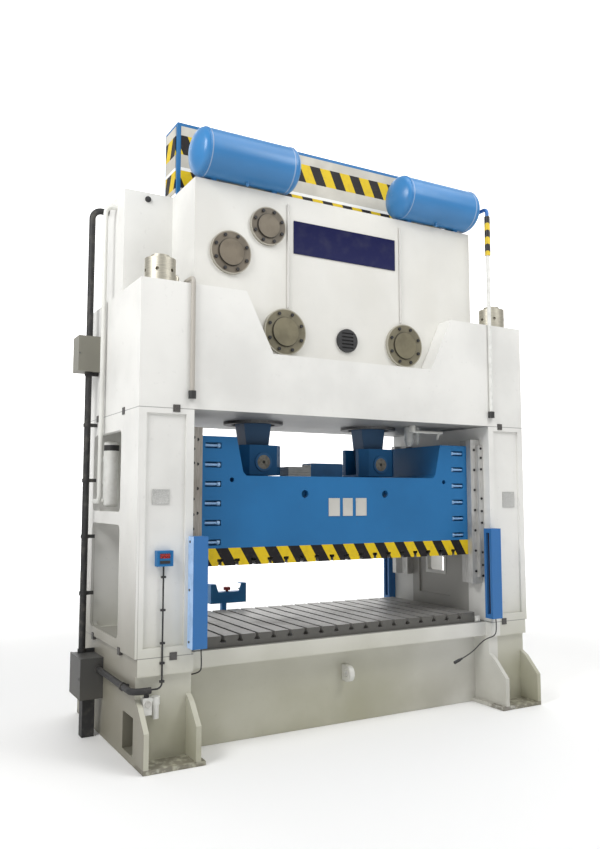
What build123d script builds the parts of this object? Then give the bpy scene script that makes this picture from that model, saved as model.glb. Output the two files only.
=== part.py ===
from build123d import *
import math
import os

# Shared fits, used by every piece
overrun = 5.0
running_gap = 0.08
flat_gap = 0.3
free_gap = 3.0
hex_sides = 6

# Main stand of the frame: uprights, bed and crown
frame_half = 1946.0
frame_depth_half = 762.0
upright_wide = 441.0
throat_half = frame_half - upright_wide
bed_top = 762.0
crown_base = 2610.0

# Tie rods and their nuts
rod_set_out = 235.0
rod_inset = 172.0
rod_across = throat_half + rod_set_out
rod_along = frame_depth_half - rod_inset
rod_radius = 75.0
rod_bore = 91.0
rod_stick_out = 30.0
nut_radius = 122.0
nut_high = 200.0
nut_pin_hole = 14.0
nut_pin_count = 6
nut_foot_high = 150.0
nut_foot_radius = 100.0

# Bed
bed_inset = 21.0
bed_half = frame_half - bed_inset
bed_face_inset = 239.0
bed_face = frame_depth_half - bed_face_inset
bed_wall = 70.0
bed_deck = 120.0
bed_rib = 80.0
flange_inset = 79.0
flange_reach = frame_depth_half - flange_inset
flange_deep = 128.0
foot_lap = 15.0
foot_inner = throat_half - foot_lap
foot_inset = 40.0
foot_face = frame_depth_half - foot_inset
foot_stick_out = 176.0
foot_reach = frame_depth_half + foot_stick_out
foot_plate_thick = 30.0
foot_plate_lip = 37.0
gusset_thick = 40.0
gusset_high = 470.0
gusset_shoulder_drop = 40.0
gusset_shoulder_run = 70.0
gusset_knee_high = 280.0
access_inset = 27.0
access_wide = 255.0
access_far = foot_face - access_inset
access_near = access_far - access_wide
access_low = 60.0
access_high = 335.0
lug_reach = 140.0
lug_thick = 44.0
lug_high = 136.0
lug_mid = 428.0
lug_hole = 32.0

# Uprights
upright_wall = 55.0
upright_cap = 60.0
panel_border = 62.0
panel_deep = 20.0
panel_rise = 70.0
panel_drop = 42.0
panel_low = bed_top + panel_rise
panel_high = crown_base - panel_drop
window_near = -330.0
rod_cell_web = 20.0
rod_cell = rod_along - rod_bore
window_far = rod_cell - rod_cell_web
window_round = 50.0
window_drop = 143.0
sill_high = 79.0
mullion_half = 50.0
mullion_share = 0.5444
mullion_level = bed_top + (crown_base - bed_top) * mullion_share
upper_window_low = mullion_level + mullion_half
upper_window_high = crown_base - window_drop
lower_window_low = bed_top + sill_high
lower_window_high = mullion_level - mullion_half
inner_window_near = -60.0
inner_window_far = 200.0
inner_sill_high = 418.0
inner_window_tall = 150.0
inner_window_low = bed_top + inner_sill_high
inner_window_high = inner_window_low + inner_window_tall
inner_window_round = 30.0
inner_panel_front = -160.0
inner_panel_rear = 330.0
inner_panel_rise = 180.0
inner_panel_tall = 470.0
inner_panel_deep = 15.0

# Keys across the two seams
key_half = 28.0
key_deep = 40.0
key_proud = 6.0
key_set_out = 145.0
key_to_rod = 210.0
key_across = throat_half + key_set_out
key_along = rod_along - key_to_rod

# Bolster
bolster_inset = 120.0
bolster_back = 112.0
bolster_half = throat_half - bolster_inset
bolster_reach = frame_depth_half - bolster_back
bolster_high = 91.0
slot_pitch = 150.0
slot_edge = 150.0
slot_count = 2 * int((bolster_half - slot_edge) / slot_pitch) + 1
slot_neck = 28.0
slot_neck_deep = 32.0
slot_head = 48.0
slot_head_deep = 22.0

# Crown
upper_inset = 48.0
upper_step = 168.0
upper_half = throat_half - upper_inset
upper_reach = frame_depth_half - upper_step
crown_wall = 60.0
crown_floor = 60.0
side_wall = 70.0
wing_inset = 61.0
wing_half = frame_half - wing_inset
wing_front = -75.0
notch_set_in = 133.0
notch_back = 154.0
notch_near = upper_half + notch_set_in
notch_front = upper_reach - notch_back
notch_high = 280.0
neck_bore = 200.0

# Gear train
eccentric_throw = 100.0
big_module_share = 0.0137
big_module = round(upper_half * big_module_share)
eccentric_teeth = 63
small_teeth = 17
small_module_share = 0.0082
small_module = round(upper_half * small_module_share)
wheel_teeth = 56
drive_teeth = 18
mid_run_share = 0.6375
drive_run_share = 0.775
addendum_share = 1.0
dedendum_share = 1.25
tip_share = 0.66
root_share = 2.05
big_gear_near = 130.0
big_gear_far = 270.0
small_gear_room = 14.0
small_gear_wide = 80.0
small_gear_far = upper_reach - crown_wall - small_gear_room
small_gear_near = small_gear_far - small_gear_wide
gear_face_margin = 10.0
web_hole_share = 0.135
web_ring_share = 0.635
web_hole_count = 6
hub_radius = 190.0
sheave_radius = 265.0
sheave_half = 96.0
pin_radius = 110.0
mid_shaft_radius = 85.0
drive_shaft_radius = 70.0

# Levels set by the gears
gear_room = 15.0
recess_drop = 229.0
recess_side = 190.0
recess_spread = 247.0
shoulder_rise = 265.0
crown_head = 309.0
big_pitch = big_module * eccentric_teeth / 2
pinion_pitch = big_module * small_teeth / 2
wheel_pitch = small_module * wheel_teeth / 2
drive_pitch = small_module * drive_teeth / 2
web_hole_radius = big_pitch * web_hole_share
web_hole_ring = big_pitch * web_ring_share
eccentric_across = big_pitch
eccentric_level = crown_base + crown_floor + big_pitch + big_module + gear_room
mid_run = -(big_pitch + pinion_pitch) * mid_run_share
mid_rise = math.sqrt((big_pitch + pinion_pitch) ** 2 - mid_run ** 2)
mid_shaft_across = mid_run - eccentric_across
mid_shaft_level = eccentric_level + mid_rise
drive_run = (wheel_pitch + drive_pitch) * drive_run_share
drive_rise = math.sqrt((wheel_pitch + drive_pitch) ** 2 - drive_run ** 2)
drive_shaft_across = mid_shaft_across + drive_run
drive_shaft_level = mid_shaft_level + drive_rise
recess_low = eccentric_level - recess_drop
recess_low_half = eccentric_across + recess_side
recess_high_half = recess_low_half + recess_spread
shoulder_top = eccentric_level + shoulder_rise
crown_top = drive_shaft_level + crown_head

# Con-rods, wrist pins and pitman screws
rod_thick_half = 92.0
big_end_wall = 65.0
big_end_gap = 6.0
big_end_lift_share = 0.22
small_end_radius = 92.0
small_end_drop = 367.0
small_end_level = crown_base - small_end_drop
shank_top_half = 205.0
shank_top_drop = 300.0
wrist_radius = 70.0
wrist_cap_radius = 82.0
wrist_cap_thick = 10.0
head_share = 0.3254
head_half = eccentric_across * head_share
head_depth_half = 210.0
head_drop = 113.0
head_rise = 150.0
head_low = small_end_level - head_drop
head_high = small_end_level + head_rise
head_cut = 70.0
fork_gap = 0.5
screw_radius = 110.0
screw_drop = 543.0
screw_low = small_end_level - screw_drop
neck_ring_radius = 270.0
neck_ring_thick = 25.0

# Slide and what is on it
slide_inset = 75.0
slide_back = 182.0
slide_half = throat_half - slide_inset
slide_reach = frame_depth_half - slide_back
slide_drop = 1082.0
ear_drop = 185.0
mid_top_drop = 500.0
slide_low = crown_base - slide_drop
ear_top = crown_base - ear_drop
ear_room = 165.0
ear_slope = 60.0
ear_foot = eccentric_across + head_half + ear_room
ear_inner = ear_foot + ear_slope
slide_mid_top = crown_base - mid_top_drop
ear_foot_rise = 30.0
corner_cut = 45.0
slide_wall = 60.0
slide_floor = 112.0
slide_cheek = 60.0
boss_share = 0.3175
boss_drop = 44.0
boss_radius = eccentric_across * boss_share
boss_top = slide_mid_top - boss_drop
screw_bottom_room = 66.0
shelf_room = 60.0
shelf_drop = 100.0
shelf_half = eccentric_across - boss_radius - shelf_room
shelf_near = -200.0
shelf_top = slide_mid_top - shelf_drop
view_hole_set_in = 213.0
view_hole_drop = 149.0
view_hole_across = eccentric_across - view_hole_set_in
view_hole_level = slide_mid_top - view_hole_drop
view_hole_radius = 34.0
lift_hole_share = 0.108
lift_hole_drop = 35.0
ear_wide = slide_half - ear_inner
lift_hole_across = ear_inner + ear_wide * lift_hole_share
lift_hole_level = slide_mid_top - lift_hole_drop
lift_hole_radius = 20.0
plate_thick = 140.0
plate_low = slide_low - plate_thick
pocket_near_share = 0.365
pocket_far_share = 0.743
pocket_near = ear_inner + ear_wide * pocket_near_share
pocket_far = ear_inner + ear_wide * pocket_far_share
pocket_high_half = 24.0
pocket_deep = 44.0
push_count = 6
push_drop = 75.0
push_first = ear_top - push_drop
push_step = 155.0
push_radius = 12.0
push_head_radius = 20.0
push_head_long = 24.0
push_set_in = 22.0
push_tail = 30.0
push_bottom = 40.0
gear_motor_inset = 6.0
gear_motor_trim = 153.0
gear_motor_split_share = 0.4027
gear_motor_near = gear_motor_inset - shelf_half
gear_motor_far = shelf_half - gear_motor_trim
gear_motor_split = gear_motor_near + (gear_motor_far - gear_motor_near) * gear_motor_split_share
gear_motor_front = -185.0
gear_motor_rear = -20.0
gear_motor_low_trim = 36.0
gear_motor_high = 234.0
gear_motor_top = shelf_top + gear_motor_high
gear_motor_round = 16.0

# Gibs
gib_rise = 353.0
gib_drop = 124.0
gib_low = bed_top + gib_rise
gib_high = crown_base - gib_drop
gib_gap = 0.1
gib_lap = 46.0
gib_front_room = 60.0
gib_back_room = 140.0
gib_nose_half = slide_half - gib_lap
gib_front = slide_reach + gib_front_room
gib_back = slide_reach - gib_back_room
gib_rib_deep = 40.0
gib_rib_half = 60.0

# Covers on the crown's front
cover_thick = 26.0
cover_rise = 14.0
eccentric_cover_share = 0.3175
eccentric_cover_radius = big_pitch * eccentric_cover_share
mid_cover_share = 0.410
mid_cover_radius = (wheel_pitch + drive_pitch) * mid_cover_share
drive_cover_share = 0.374
drive_cover_radius = (wheel_pitch + drive_pitch) * drive_cover_share
cover_disc_share = 0.62
bolt_ring_share = 0.82
cover_bolt_count = 8
bolt_radius = 15.0
bolt_high = 13.0
grille_radius = 105.0
grille_thick = 24.0
grille_slot_count = 5
grille_slot_step = 32.0
grille_slot_high = 14.0
grille_slot_half = 60.0
grille_drop = 14.0
grille_level = eccentric_level - grille_drop

# Pipes on the crown's front
lube_set_in = 33.0
lube_rise = 215.0
lube_drop = 79.0
lube_across = eccentric_across - lube_set_in
lube_radius = 9.0
lube_low = eccentric_level + lube_rise
lube_high = crown_top - lube_drop
corner_set_out = 75.0
corner_rise = 80.0
corner_across = upper_half + corner_set_out
corner_radius = 18.0
corner_low = crown_base + corner_rise
corner_bend = 45.0
short_pipe_rise = 46.0
short_pipe_back = 24.0
fitting_radius = 30.0
fitting_high = 60.0
sleeve_radius = 27.0
sleeve_drop = 251.0
sleeve_rise = 139.0
sleeve_low = crown_top - sleeve_drop
sleeve_high = crown_top + sleeve_rise

# Air tanks and saddles
tank_radius = 200.0
tank_wall = 10.0
tank_forward = 6.0
tank_lift = 218.0
tank_overhang = 43.0
tank_along = -upper_reach - tank_forward
tank_level = crown_top + tank_lift
tank_near = 515.0
tank_far = upper_half + tank_overhang
tank_dish = 102.0
tank_crown = 320.0
tank_knuckle = 62.0
tank_bead = 4.0
tank_bead_half = 8.0
drain_radius = 14.0
drain_long = 30.0
drain_forward = 40.0
saddle_half = 22.0
saddle_set_back = 4.0
saddle_long = 135.0
saddle_front = -upper_reach + saddle_set_back
saddle_rear = saddle_front + saddle_long
saddle_rise = 150.0
saddle_inset = 210.0

# Guard on the crown's top
guard_front = -170.0
guard_rear = 130.0
guard_high = 646.0
guard_rail_rise = 309.0
guard_top = crown_top + guard_high
guard_tube = 32.0
guard_rail_level = crown_top + guard_rail_rise
panel_thick = 8.0
panel_lift = 20.0

# Motor, belts, flywheel and their guard
guard_gap = 45.0
guard_sheet = 8.0
motor_across = 250.0
motor_rise = 249.0
motor_level = crown_top + motor_rise
motor_inset = 34.0
motor_long = 370.0
motor_rear = upper_reach - motor_inset
motor_front = motor_rear - motor_long
motor_radius = 165.0
motor_foot_half = 150.0
motor_box_half = 70.0
motor_box_high = 235.0
motor_shaft_radius = 30.0
belt_count = 4
belt_thick = 14.0
belt_wide = 18.0
flywheel_room = 19.0
pulley_share = 0.2
flywheel_radius = drive_shaft_level - shoulder_top - guard_gap - guard_sheet - flywheel_room
pulley_radius = flywheel_radius * pulley_share
flywheel_rim = 110.0
flywheel_web = 40.0
flywheel_hub = 130.0
flywheel_stand_off = 46.0
flywheel_wide = 150.0
belt_margin = 20.0
shaft_past = 20.0
motor_shaft_past = 10.0
flywheel_near = upper_reach + flywheel_stand_off
flywheel_far = flywheel_near + flywheel_wide
belt_near = flywheel_near + belt_margin
belt_far = flywheel_far - belt_margin
shaft_rear_end = flywheel_far + shaft_past
motor_shaft_end = belt_far + motor_shaft_past
guard_past = 60.0
guard_far = flywheel_far + guard_past
guard_shaft_hole = 90.0

# Light curtains
curtain_set_in = 85.0
curtain_wide = 120.0
curtain_rise = 49.0
curtain_tall = 829.0
curtain_near = throat_half - curtain_set_in
curtain_far = curtain_near + curtain_wide
curtain_depth = 100.0
curtain_low = bed_top + curtain_rise
curtain_high = curtain_low + curtain_tall
curtain_slot_deep = 30.0
curtain_slot_half = 22.0
curtain_slot_trim = 40.0

# Display box and its cable
display_set_in = 149.0
display_wide = 126.0
display_rise = 662.0
display_tall = 115.0
display_near = -frame_half + display_set_in
display_far = display_near + display_wide
display_low = bed_top + display_rise
display_high = display_low + display_tall
display_depth = 34.0
display_rim = 14.0
display_sunk = 4.0
cable_set_in = 60.0
cable_across = display_near + cable_set_in
cable_radius = 6.5
cable_bend = 40.0
joint_drop = 222.0
joint_set_in = 120.0
joint_level = bed_top - joint_drop
joint_across = -frame_half + joint_set_in

# Junction boxes and doors
box_sheet = 6.0
conduit_to_key = 25.0
conduit_along = key_along + conduit_to_key
upper_box_deep = 174.0
upper_box_rise = 409.0
upper_box_tall = 309.0
upper_box_near = -frame_half
upper_box_far = upper_box_near - upper_box_deep
upper_box_lead = 75.0
upper_box_wide = 190.0
upper_box_front = conduit_along - upper_box_lead
upper_box_rear = upper_box_front + upper_box_wide
upper_box_low = crown_base + upper_box_rise
upper_box_high = upper_box_low + upper_box_tall
lower_box_deep = 170.0
lower_box_drop = 459.0
lower_box_tall = 325.0
lower_box_near = -bed_half
lower_box_far = lower_box_near - lower_box_deep
lower_box_lead = 295.0
lower_box_wide = 340.0
lower_box_front = conduit_along - lower_box_lead
lower_box_rear = lower_box_front + lower_box_wide
lower_box_low = bed_top - lower_box_drop
lower_box_high = lower_box_low + lower_box_tall
door_thick = 18.0
knuckle_radius = 8.0
knuckle_gap = 3.0
knuckle_share = 0.2

# Conduits
conduit_stand_off = 84.0
conduit_drop = 61.0
conduit_across = -frame_half - conduit_stand_off
conduit_radius = 28.0
conduit_top = crown_top - conduit_drop
conduit_bend = 80.0
side_conduit_stand_off = 22.0
side_conduit_across = -frame_half - side_conduit_stand_off
side_conduit_radius = 24.0
side_conduit_bend = 60.0
collar_share = 1.25
collar_long = 30.0
collar_count = 5
duct_half = 50.0
duct_lead = 255.0
duct_deep = 100.0
duct_front = conduit_along - duct_lead
duct_rear = duct_front + duct_deep

# Air service unit
unit_set_in = 45.0
unit_wide = 65.0
bowl_set_in = 102.0
unit_near = -bed_half + unit_set_in
unit_far = unit_near + unit_wide
unit_low = 365.0
unit_high = 488.0
unit_reach = 66.0
bowl_across = unit_near + bowl_set_in
bowl_radius = 32.0
bowl_low = 330.0
bowl_neck = 20.0
bowl_shoulder = 430.0

# Balance vessel and its pipe
vessel_set_in = 121.0
vessel_to_rod = 230.0
vessel_rise = 32.0
vessel_drop = 47.0
vessel_across = -frame_half + vessel_set_in
vessel_along = rod_along - vessel_to_rod
vessel_radius = 66.0
vessel_low = upper_window_low + vessel_rise
vessel_high = upper_window_high - vessel_drop
vessel_round = 30.0
vessel_bar_set_in = 94.0
vessel_bar_across = -frame_half + vessel_bar_set_in
vessel_bar_half = 22.0
balance_stand_off = 34.0
balance_drop = 101.0
balance_rise = 50.0
balance_across = -frame_half - balance_stand_off
balance_lead = 255.0
balance_along = conduit_along - balance_lead
balance_radius = 20.0
balance_high = crown_top - balance_drop
balance_bend = 60.0
balance_entry = vessel_low + balance_rise

# Console at the back
console_near = -694.0
console_far = -315.0
console_rise = 132.0
console_tall = 108.0
console_stand_off = 103.0
console_deep = 90.5
console_low = bed_top + console_rise
console_high = console_low + console_tall
console_front = flange_reach + console_stand_off
console_rear = console_front + console_deep
console_sheet = 6.0
post_across = -542.0
post_half = 24.0
post_shoe = 70.0
post_shoe_thick = 16.0
hood_wide = 80.0
hood_high = 80.0
hood_slope = 26.0
button_radius = 14.0
button_inside = 24.0
button_lift = 14.0
button_head_radius = 24.0
button_head_thick = 12.0
stop_head_radius = 34.0
stop_head_thick = 30.0

# Free leads: each bend across, along and up from its corner
left_cable_radius = 5.0
left_cable_start = (55.0, -50.0, 48.0)
left_cable_drop = (65.0, -44.0, -72.0)
left_cable_turn = (80.0, 17.0, -150.0)
left_cable_end = (18.0, 62.0, -162.0)
lead_radius = 5.0
lead_start = (-5.0, -50.0, 48.0)
lead_drop = (0, -53.0, -32.0)
lead_elbow = (-15.0, -53.0, -112.0)
lead_level = (-105.0, -38.0, -130.0)
lead_bow = (-175.0, -33.0, -162.0)
lead_fall = (-250.0, -28.0, -222.0)
lead_tail = (-325.0, -23.0, -262.0)
lead_end = (-395.0, -18.0, -288.0)
bend_share = 0.45
plug_radius = 14.0
plug_long = 64.0
plug_grip_radius = 10.0
plug_grip_long = 26.0



# Basic shapes
def block(across, along, levels):
    low = Vector(min(across), min(along), min(levels))
    high = Vector(max(across), max(along), max(levels))
    size = high - low
    centre = (low + high) * (1 / 2)
    return Pos(*centre) * Box(size.X, size.Y, size.Z)


def rodX(across, along, level, radius):
    long = max(across) - min(across)
    return Pos(sum(across) / 2, along, level) * Rot(0, 90, 0) * Cylinder(radius, long)


def rodY(across, along, level, radius):
    long = max(along) - min(along)
    return Pos(across, sum(along) / 2, level) * Rot(90, 0, 0) * Cylinder(radius, long)


def rodZ(across, along, levels, radius):
    long = max(levels) - min(levels)
    return Pos(across, along, sum(levels) / 2) * Cylinder(radius, long)


def prismY(points, along):
    flat = Plane.XZ.offset(-max(along)) * Polygon(*points, align=None)
    return extrude(flat, amount=max(along) - min(along), dir=(0, -1, 0))


def prismX(points, across):
    flat = Plane.YZ.offset(min(across)) * Polygon(*points, align=None)
    return extrude(flat, amount=max(across) - min(across), dir=(1, 0, 0))


def prismZ(points, levels):
    flat = Plane.XY.offset(min(levels)) * Polygon(*points, align=None)
    return extrude(flat, amount=max(levels) - min(levels), dir=(0, 0, 1))


def roundedX(across, along, levels, radius):
    outline = RectangleRounded(max(along) - min(along), max(levels) - min(levels), radius)
    flat = Plane.YZ.offset(min(across)) * (Pos(sum(along) / 2, sum(levels) / 2) * outline)
    return extrude(flat, amount=max(across) - min(across))


def obroundY(across, level, along, half_wide, half_high):
    outline = SlotCenterToCenter(2 * (half_wide - half_high), 2 * half_high)
    flat = Plane.XZ.offset(-max(along)) * (Pos(across, level) * outline)
    return extrude(flat, amount=max(along) - min(along))


def hexX(across, along, level, radius):
    flat = Plane.YZ.offset(min(across)) * (Pos(along, level) * RegularPolygon(radius, hex_sides))
    return extrude(flat, amount=max(across) - min(across))


def hexY(across, along, level, radius):
    flat = Plane.XZ.offset(-max(along)) * (Pos(across, level) * RegularPolygon(radius, hex_sides))
    return extrude(flat, amount=max(along) - min(along))


def pipe(points, radius, bend):
    route = FilletPolyline(*points, radius=bend)
    return sweep(Plane(origin=route @ 0, z_dir=route % 0) * Circle(radius), path=route)


def mirrorX(shape):
    return shape.mirror(Plane.YZ)


def mirrorY(shape):
    return shape.mirror(Plane.XZ)


def bothX(shape):
    return [shape, mirrorX(shape)]


def bothY(shape):
    return [shape, mirrorY(shape)]


def fourWays(shape):
    return bothY(shape) + bothY(mirrorX(shape))


def group(shapes):
    return Compound(children=[solid for shape in shapes for solid in shape.solids()])


# Gears: straight flanks, tip and root widths as shares of the module
def gear(across, level, along, module, teeth, phase):
    pitch = module * teeth / 2
    tip = pitch + module * addendum_share
    root = pitch - module * dedendum_share
    tip_turn = module * tip_share / tip / 2
    root_turn = module * root_share / root / 2
    points = []
    for tooth in range(teeth):
        middle = phase + 2 * math.pi * tooth / teeth
        corners = [(root, -root_turn), (tip, -tip_turn), (tip, tip_turn), (root, root_turn)]
        for radius, turn in corners:
            angle = middle + turn
            points.append((across + radius * math.cos(angle), level + radius * math.sin(angle)))
    return prismY(points, along)


# Turn of a mating gear that puts its gap on the other gear's tooth
def meshPhase(bearing, phase, teeth, mate_teeth):
    teeth_passed = (bearing - phase) * teeth / (2 * math.pi)
    return bearing + math.pi - 2 * math.pi / mate_teeth * (1 / 2 - teeth_passed)


print("intermediate shaft", mid_shaft_across, round(mid_shaft_level, 2))
print("drive shaft", drive_shaft_across, round(drive_shaft_level, 2))

left_phase = 0
right_phase = meshPhase(0, left_phase, eccentric_teeth, eccentric_teeth)
mid_bearing = math.atan2(mid_rise, mid_run)
pinion_phase = meshPhase(mid_bearing, left_phase, eccentric_teeth, small_teeth)
drive_bearing = math.atan2(drive_rise, drive_run)
drive_phase = meshPhase(drive_bearing, pinion_phase, wheel_teeth, drive_teeth)


# Bed: deck, box walls, feet with gussets
def makeBed():
    body = block((-foot_inner, foot_inner), (-bed_face, bed_face), (0, bed_top))
    flange_low = bed_top - flange_deep
    body += block((-throat_half, throat_half), (-flange_reach, flange_reach), (flange_low, bed_top))
    foot = block((foot_inner, bed_half), (-foot_face, foot_face), (0, bed_top))
    foot += block((foot_inner, bed_half), (-frame_depth_half, frame_depth_half), (flange_low, bed_top))
    plate_in = foot_inner - foot_plate_lip
    foot += block((plate_in, bed_half), (-foot_reach, foot_reach), (0, foot_plate_thick))
    profile = [(-foot_face, 0), (-foot_reach, 0), (-foot_reach, gusset_knee_high)]
    profile += [(-foot_face - gusset_shoulder_run, gusset_high - gusset_shoulder_drop)]
    profile += [(-foot_face, gusset_high)]
    for start in (foot_inner, bed_half - gusset_thick):
        for gusset in bothY(prismX(profile, (start, start + gusset_thick))):
            foot += gusset
    for side in bothX(foot):
        body += side
    hollow_half = foot_inner - bed_wall
    hollow_reach = bed_face - bed_wall
    levels = (-overrun, bed_top - bed_deck)
    body -= block((-hollow_half, hollow_half), (-hollow_reach, hollow_reach), levels)
    body += block((-bed_rib / 2, bed_rib / 2), (-bed_face, bed_face), (0, bed_top))
    foot_space = block((foot_inner + bed_wall, bed_half - bed_wall), (-access_near + bed_wall,
                       access_near - bed_wall), levels)
    access = block((foot_inner + bed_wall, bed_half + overrun), (access_near, access_far),
                   (access_low, access_high))
    bore = rodZ(rod_across, rod_along, (access_high - overrun, bed_top + overrun), rod_bore)
    for cut in bothX(foot_space) + fourWays(access) + fourWays(bore):
        body -= cut
    lug_eye = -bed_face - lug_reach + lug_high / 2
    lug = block((-lug_thick / 2, lug_thick / 2), (lug_eye, -bed_face + overrun),
                (lug_mid - lug_high / 2, lug_mid + lug_high / 2))
    lug += rodX((-lug_thick / 2, lug_thick / 2), lug_eye, lug_mid, lug_high / 2)
    lug -= rodX((-lug_thick, lug_thick), lug_eye, lug_mid, lug_hole)
    for piece in bothY(lug):
        body += piece
    return cutKeyways(body, bed_top)


# Keys sit half in each part at a seam
def seamKeys(seam, pocket):
    room = flat_gap if pocket else 0
    half = key_half + room
    levels = (seam - half, seam + half)
    front_tip = frame_depth_half + (overrun if pocket else key_proud)
    front = block((key_across - half, key_across + half),
                  (-front_tip, -frame_depth_half + key_deep + room), levels)
    side_edge = bed_half if seam == bed_top else frame_half
    side_tip = frame_half + (overrun if pocket else key_proud)
    side = block((side_edge - key_deep - room, side_tip), (-key_along - half, -key_along + half), levels)
    return fourWays(front) + fourWays(side)


def cutKeyways(body, seam):
    for pocket in seamKeys(seam, True):
        body -= pocket
    return body


# Upright: hollow box with side windows and framed panels
def makeUpright():
    body = block((throat_half, frame_half), (-frame_depth_half, frame_depth_half), (bed_top, crown_base))
    inside = (throat_half + upright_wall, frame_half - upright_wall)
    levels = (bed_top + upright_cap, crown_base - upright_cap)
    body -= block(inside, (-window_far, window_far), levels)
    for cell in bothY(block(inside, (rod_cell, frame_depth_half - upright_wall), levels)):
        body -= cell
    panel_low_in = bed_top + inner_panel_rise
    body -= block((throat_half - overrun, throat_half + inner_panel_deep),
                  (inner_panel_front, inner_panel_rear), (panel_low_in, panel_low_in + inner_panel_tall))
    panel = block((throat_half + panel_border, frame_half - panel_border),
                  (-frame_depth_half - overrun, -frame_depth_half + panel_deep), (panel_low, panel_high))
    for cut in bothY(panel):
        body -= cut
    wall = (frame_half - upright_wall - overrun, frame_half + overrun)
    body -= roundedX(wall, (window_near, window_far), (upper_window_low, upper_window_high), window_round)
    body -= roundedX(wall, (window_near, window_far), (lower_window_low, lower_window_high), window_round)
    body -= roundedX((throat_half - overrun, throat_half + upright_wall + overrun),
                     (inner_window_near, inner_window_far), (inner_window_low, inner_window_high),
                     inner_window_round)
    for cut in bothY(rodZ(rod_across, rod_along, (bed_top - overrun, crown_base + overrun), rod_bore)):
        body -= cut
    return cutKeyways(cutKeyways(body, bed_top), crown_base)


# Crown: box with stepped front and back, wings and gear space
def makeCrown():
    body = block((-frame_half, frame_half), (-frame_depth_half, frame_depth_half), (crown_base, shoulder_top))
    slope = [(-recess_low_half, recess_low), (recess_low_half, recess_low),
             (recess_high_half, shoulder_top + overrun), (-recess_high_half, shoulder_top + overrun)]
    for cut in bothY(prismY(slope, (-frame_depth_half - overrun, -upper_reach))):
        body -= cut
    body += block((-upper_half, upper_half), (-upper_reach, upper_reach), (shoulder_top, crown_top))
    wing = block((upper_half, wing_half), (wing_front, upper_reach), (shoulder_top, crown_top))
    wing -= block((notch_near, wing_half + overrun), (notch_front, upper_reach + overrun),
                  (shoulder_top - overrun, shoulder_top + notch_high))
    for side in bothX(wing):
        body += side
    inner_half = upper_half - crown_wall
    inner_reach = upper_reach - crown_wall
    inner_top = crown_top - crown_wall
    body -= block((-inner_half, inner_half), (-inner_reach, inner_reach),
                  (crown_base + crown_floor, inner_top))
    wing_space = block((inner_half - overrun, wing_half - crown_wall),
                       (wing_front + crown_wall, notch_front - crown_wall),
                       (shoulder_top + crown_wall, inner_top))
    wing_space += block((inner_half - overrun, wing_half - crown_wall),
                        (wing_front + crown_wall, inner_reach),
                        (shoulder_top + notch_high + crown_wall, inner_top))
    wing_space += block((inner_half - overrun, notch_near - crown_wall),
                        (wing_front + crown_wall, inner_reach), (shoulder_top + crown_wall, inner_top))
    corner_space = block((upper_half, frame_half - side_wall), (-rod_along + rod_bore + side_wall,
                         rod_along - rod_bore - side_wall),
                         (crown_base - overrun, shoulder_top - crown_wall))
    bore = rodZ(rod_across, rod_along, (crown_base - overrun, shoulder_top + overrun), rod_bore)
    for cut in bothX(wing_space) + bothX(corner_space) + fourWays(bore):
        body -= cut
    neck = rodZ(eccentric_across, 0, (crown_base - overrun, crown_base + crown_floor + overrun), neck_bore)
    walls = (-upper_reach - overrun, upper_reach + overrun)
    pin_bore = rodY(eccentric_across, walls, eccentric_level, pin_radius + running_gap)
    for cut in bothX(neck) + bothX(pin_bore):
        body -= cut
    body -= rodY(mid_shaft_across, walls, mid_shaft_level, mid_shaft_radius + running_gap)
    body -= rodY(drive_shaft_across, walls, drive_shaft_level, drive_shaft_radius + running_gap)
    body -= rodY(0, (-upper_reach - overrun, -inner_reach + overrun), grille_level, grille_radius / 2)
    return cutKeyways(body, crown_base)


# Tie rods run from the foot niches to the shoulders
def makeTieRods():
    low = access_high - nut_foot_high - rod_stick_out
    return group(fourWays(rodZ(rod_across, rod_along, (low, shoulder_top + nut_high + rod_stick_out),
                               rod_radius)))


def makeTieRodNuts():
    top = rodZ(rod_across, rod_along, (shoulder_top, shoulder_top + nut_high), nut_radius)
    turn = 2 * math.pi / nut_pin_count
    for index in range(nut_pin_count):
        outer = Vector(math.cos(turn * index), math.sin(turn * index), 0) * nut_radius
        hole = Pos(rod_across, rod_along, shoulder_top + nut_high / 2) * Rot(0, 0, math.degrees(turn * index))
        top -= hole * Pos(outer.length, 0, 0) * Rot(0, 90, 0) * Cylinder(nut_pin_hole, nut_radius / 2)
    foot = rodZ(rod_across, rod_along, (access_high - nut_foot_high, access_high), nut_foot_radius)
    bore = rodZ(rod_across, rod_along, (0, crown_top), rod_radius + flat_gap)
    return group(fourWays(top - bore) + fourWays(foot - bore))


# T-slots run front to back
def slotRow(face, downward, reach):
    side = 1 if downward else -1
    cuts = []
    for index in range(slot_count):
        middle = (index - (slot_count - 1) / 2) * slot_pitch
        along = (-reach - overrun, reach + overrun)
        neck_end = face + side * slot_neck_deep
        cuts.append(block((middle - slot_neck / 2, middle + slot_neck / 2), along,
                          (face - side * overrun, neck_end)))
        cuts.append(block((middle - slot_head / 2, middle + slot_head / 2), along,
                          (neck_end, neck_end + side * slot_head_deep)))
    return cuts


def makeBolster():
    face = bed_top + bolster_high
    body = block((-bolster_half, bolster_half), (-bolster_reach, bolster_reach), (bed_top, face))
    return body - slotRow(face, False, bolster_reach)


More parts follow.
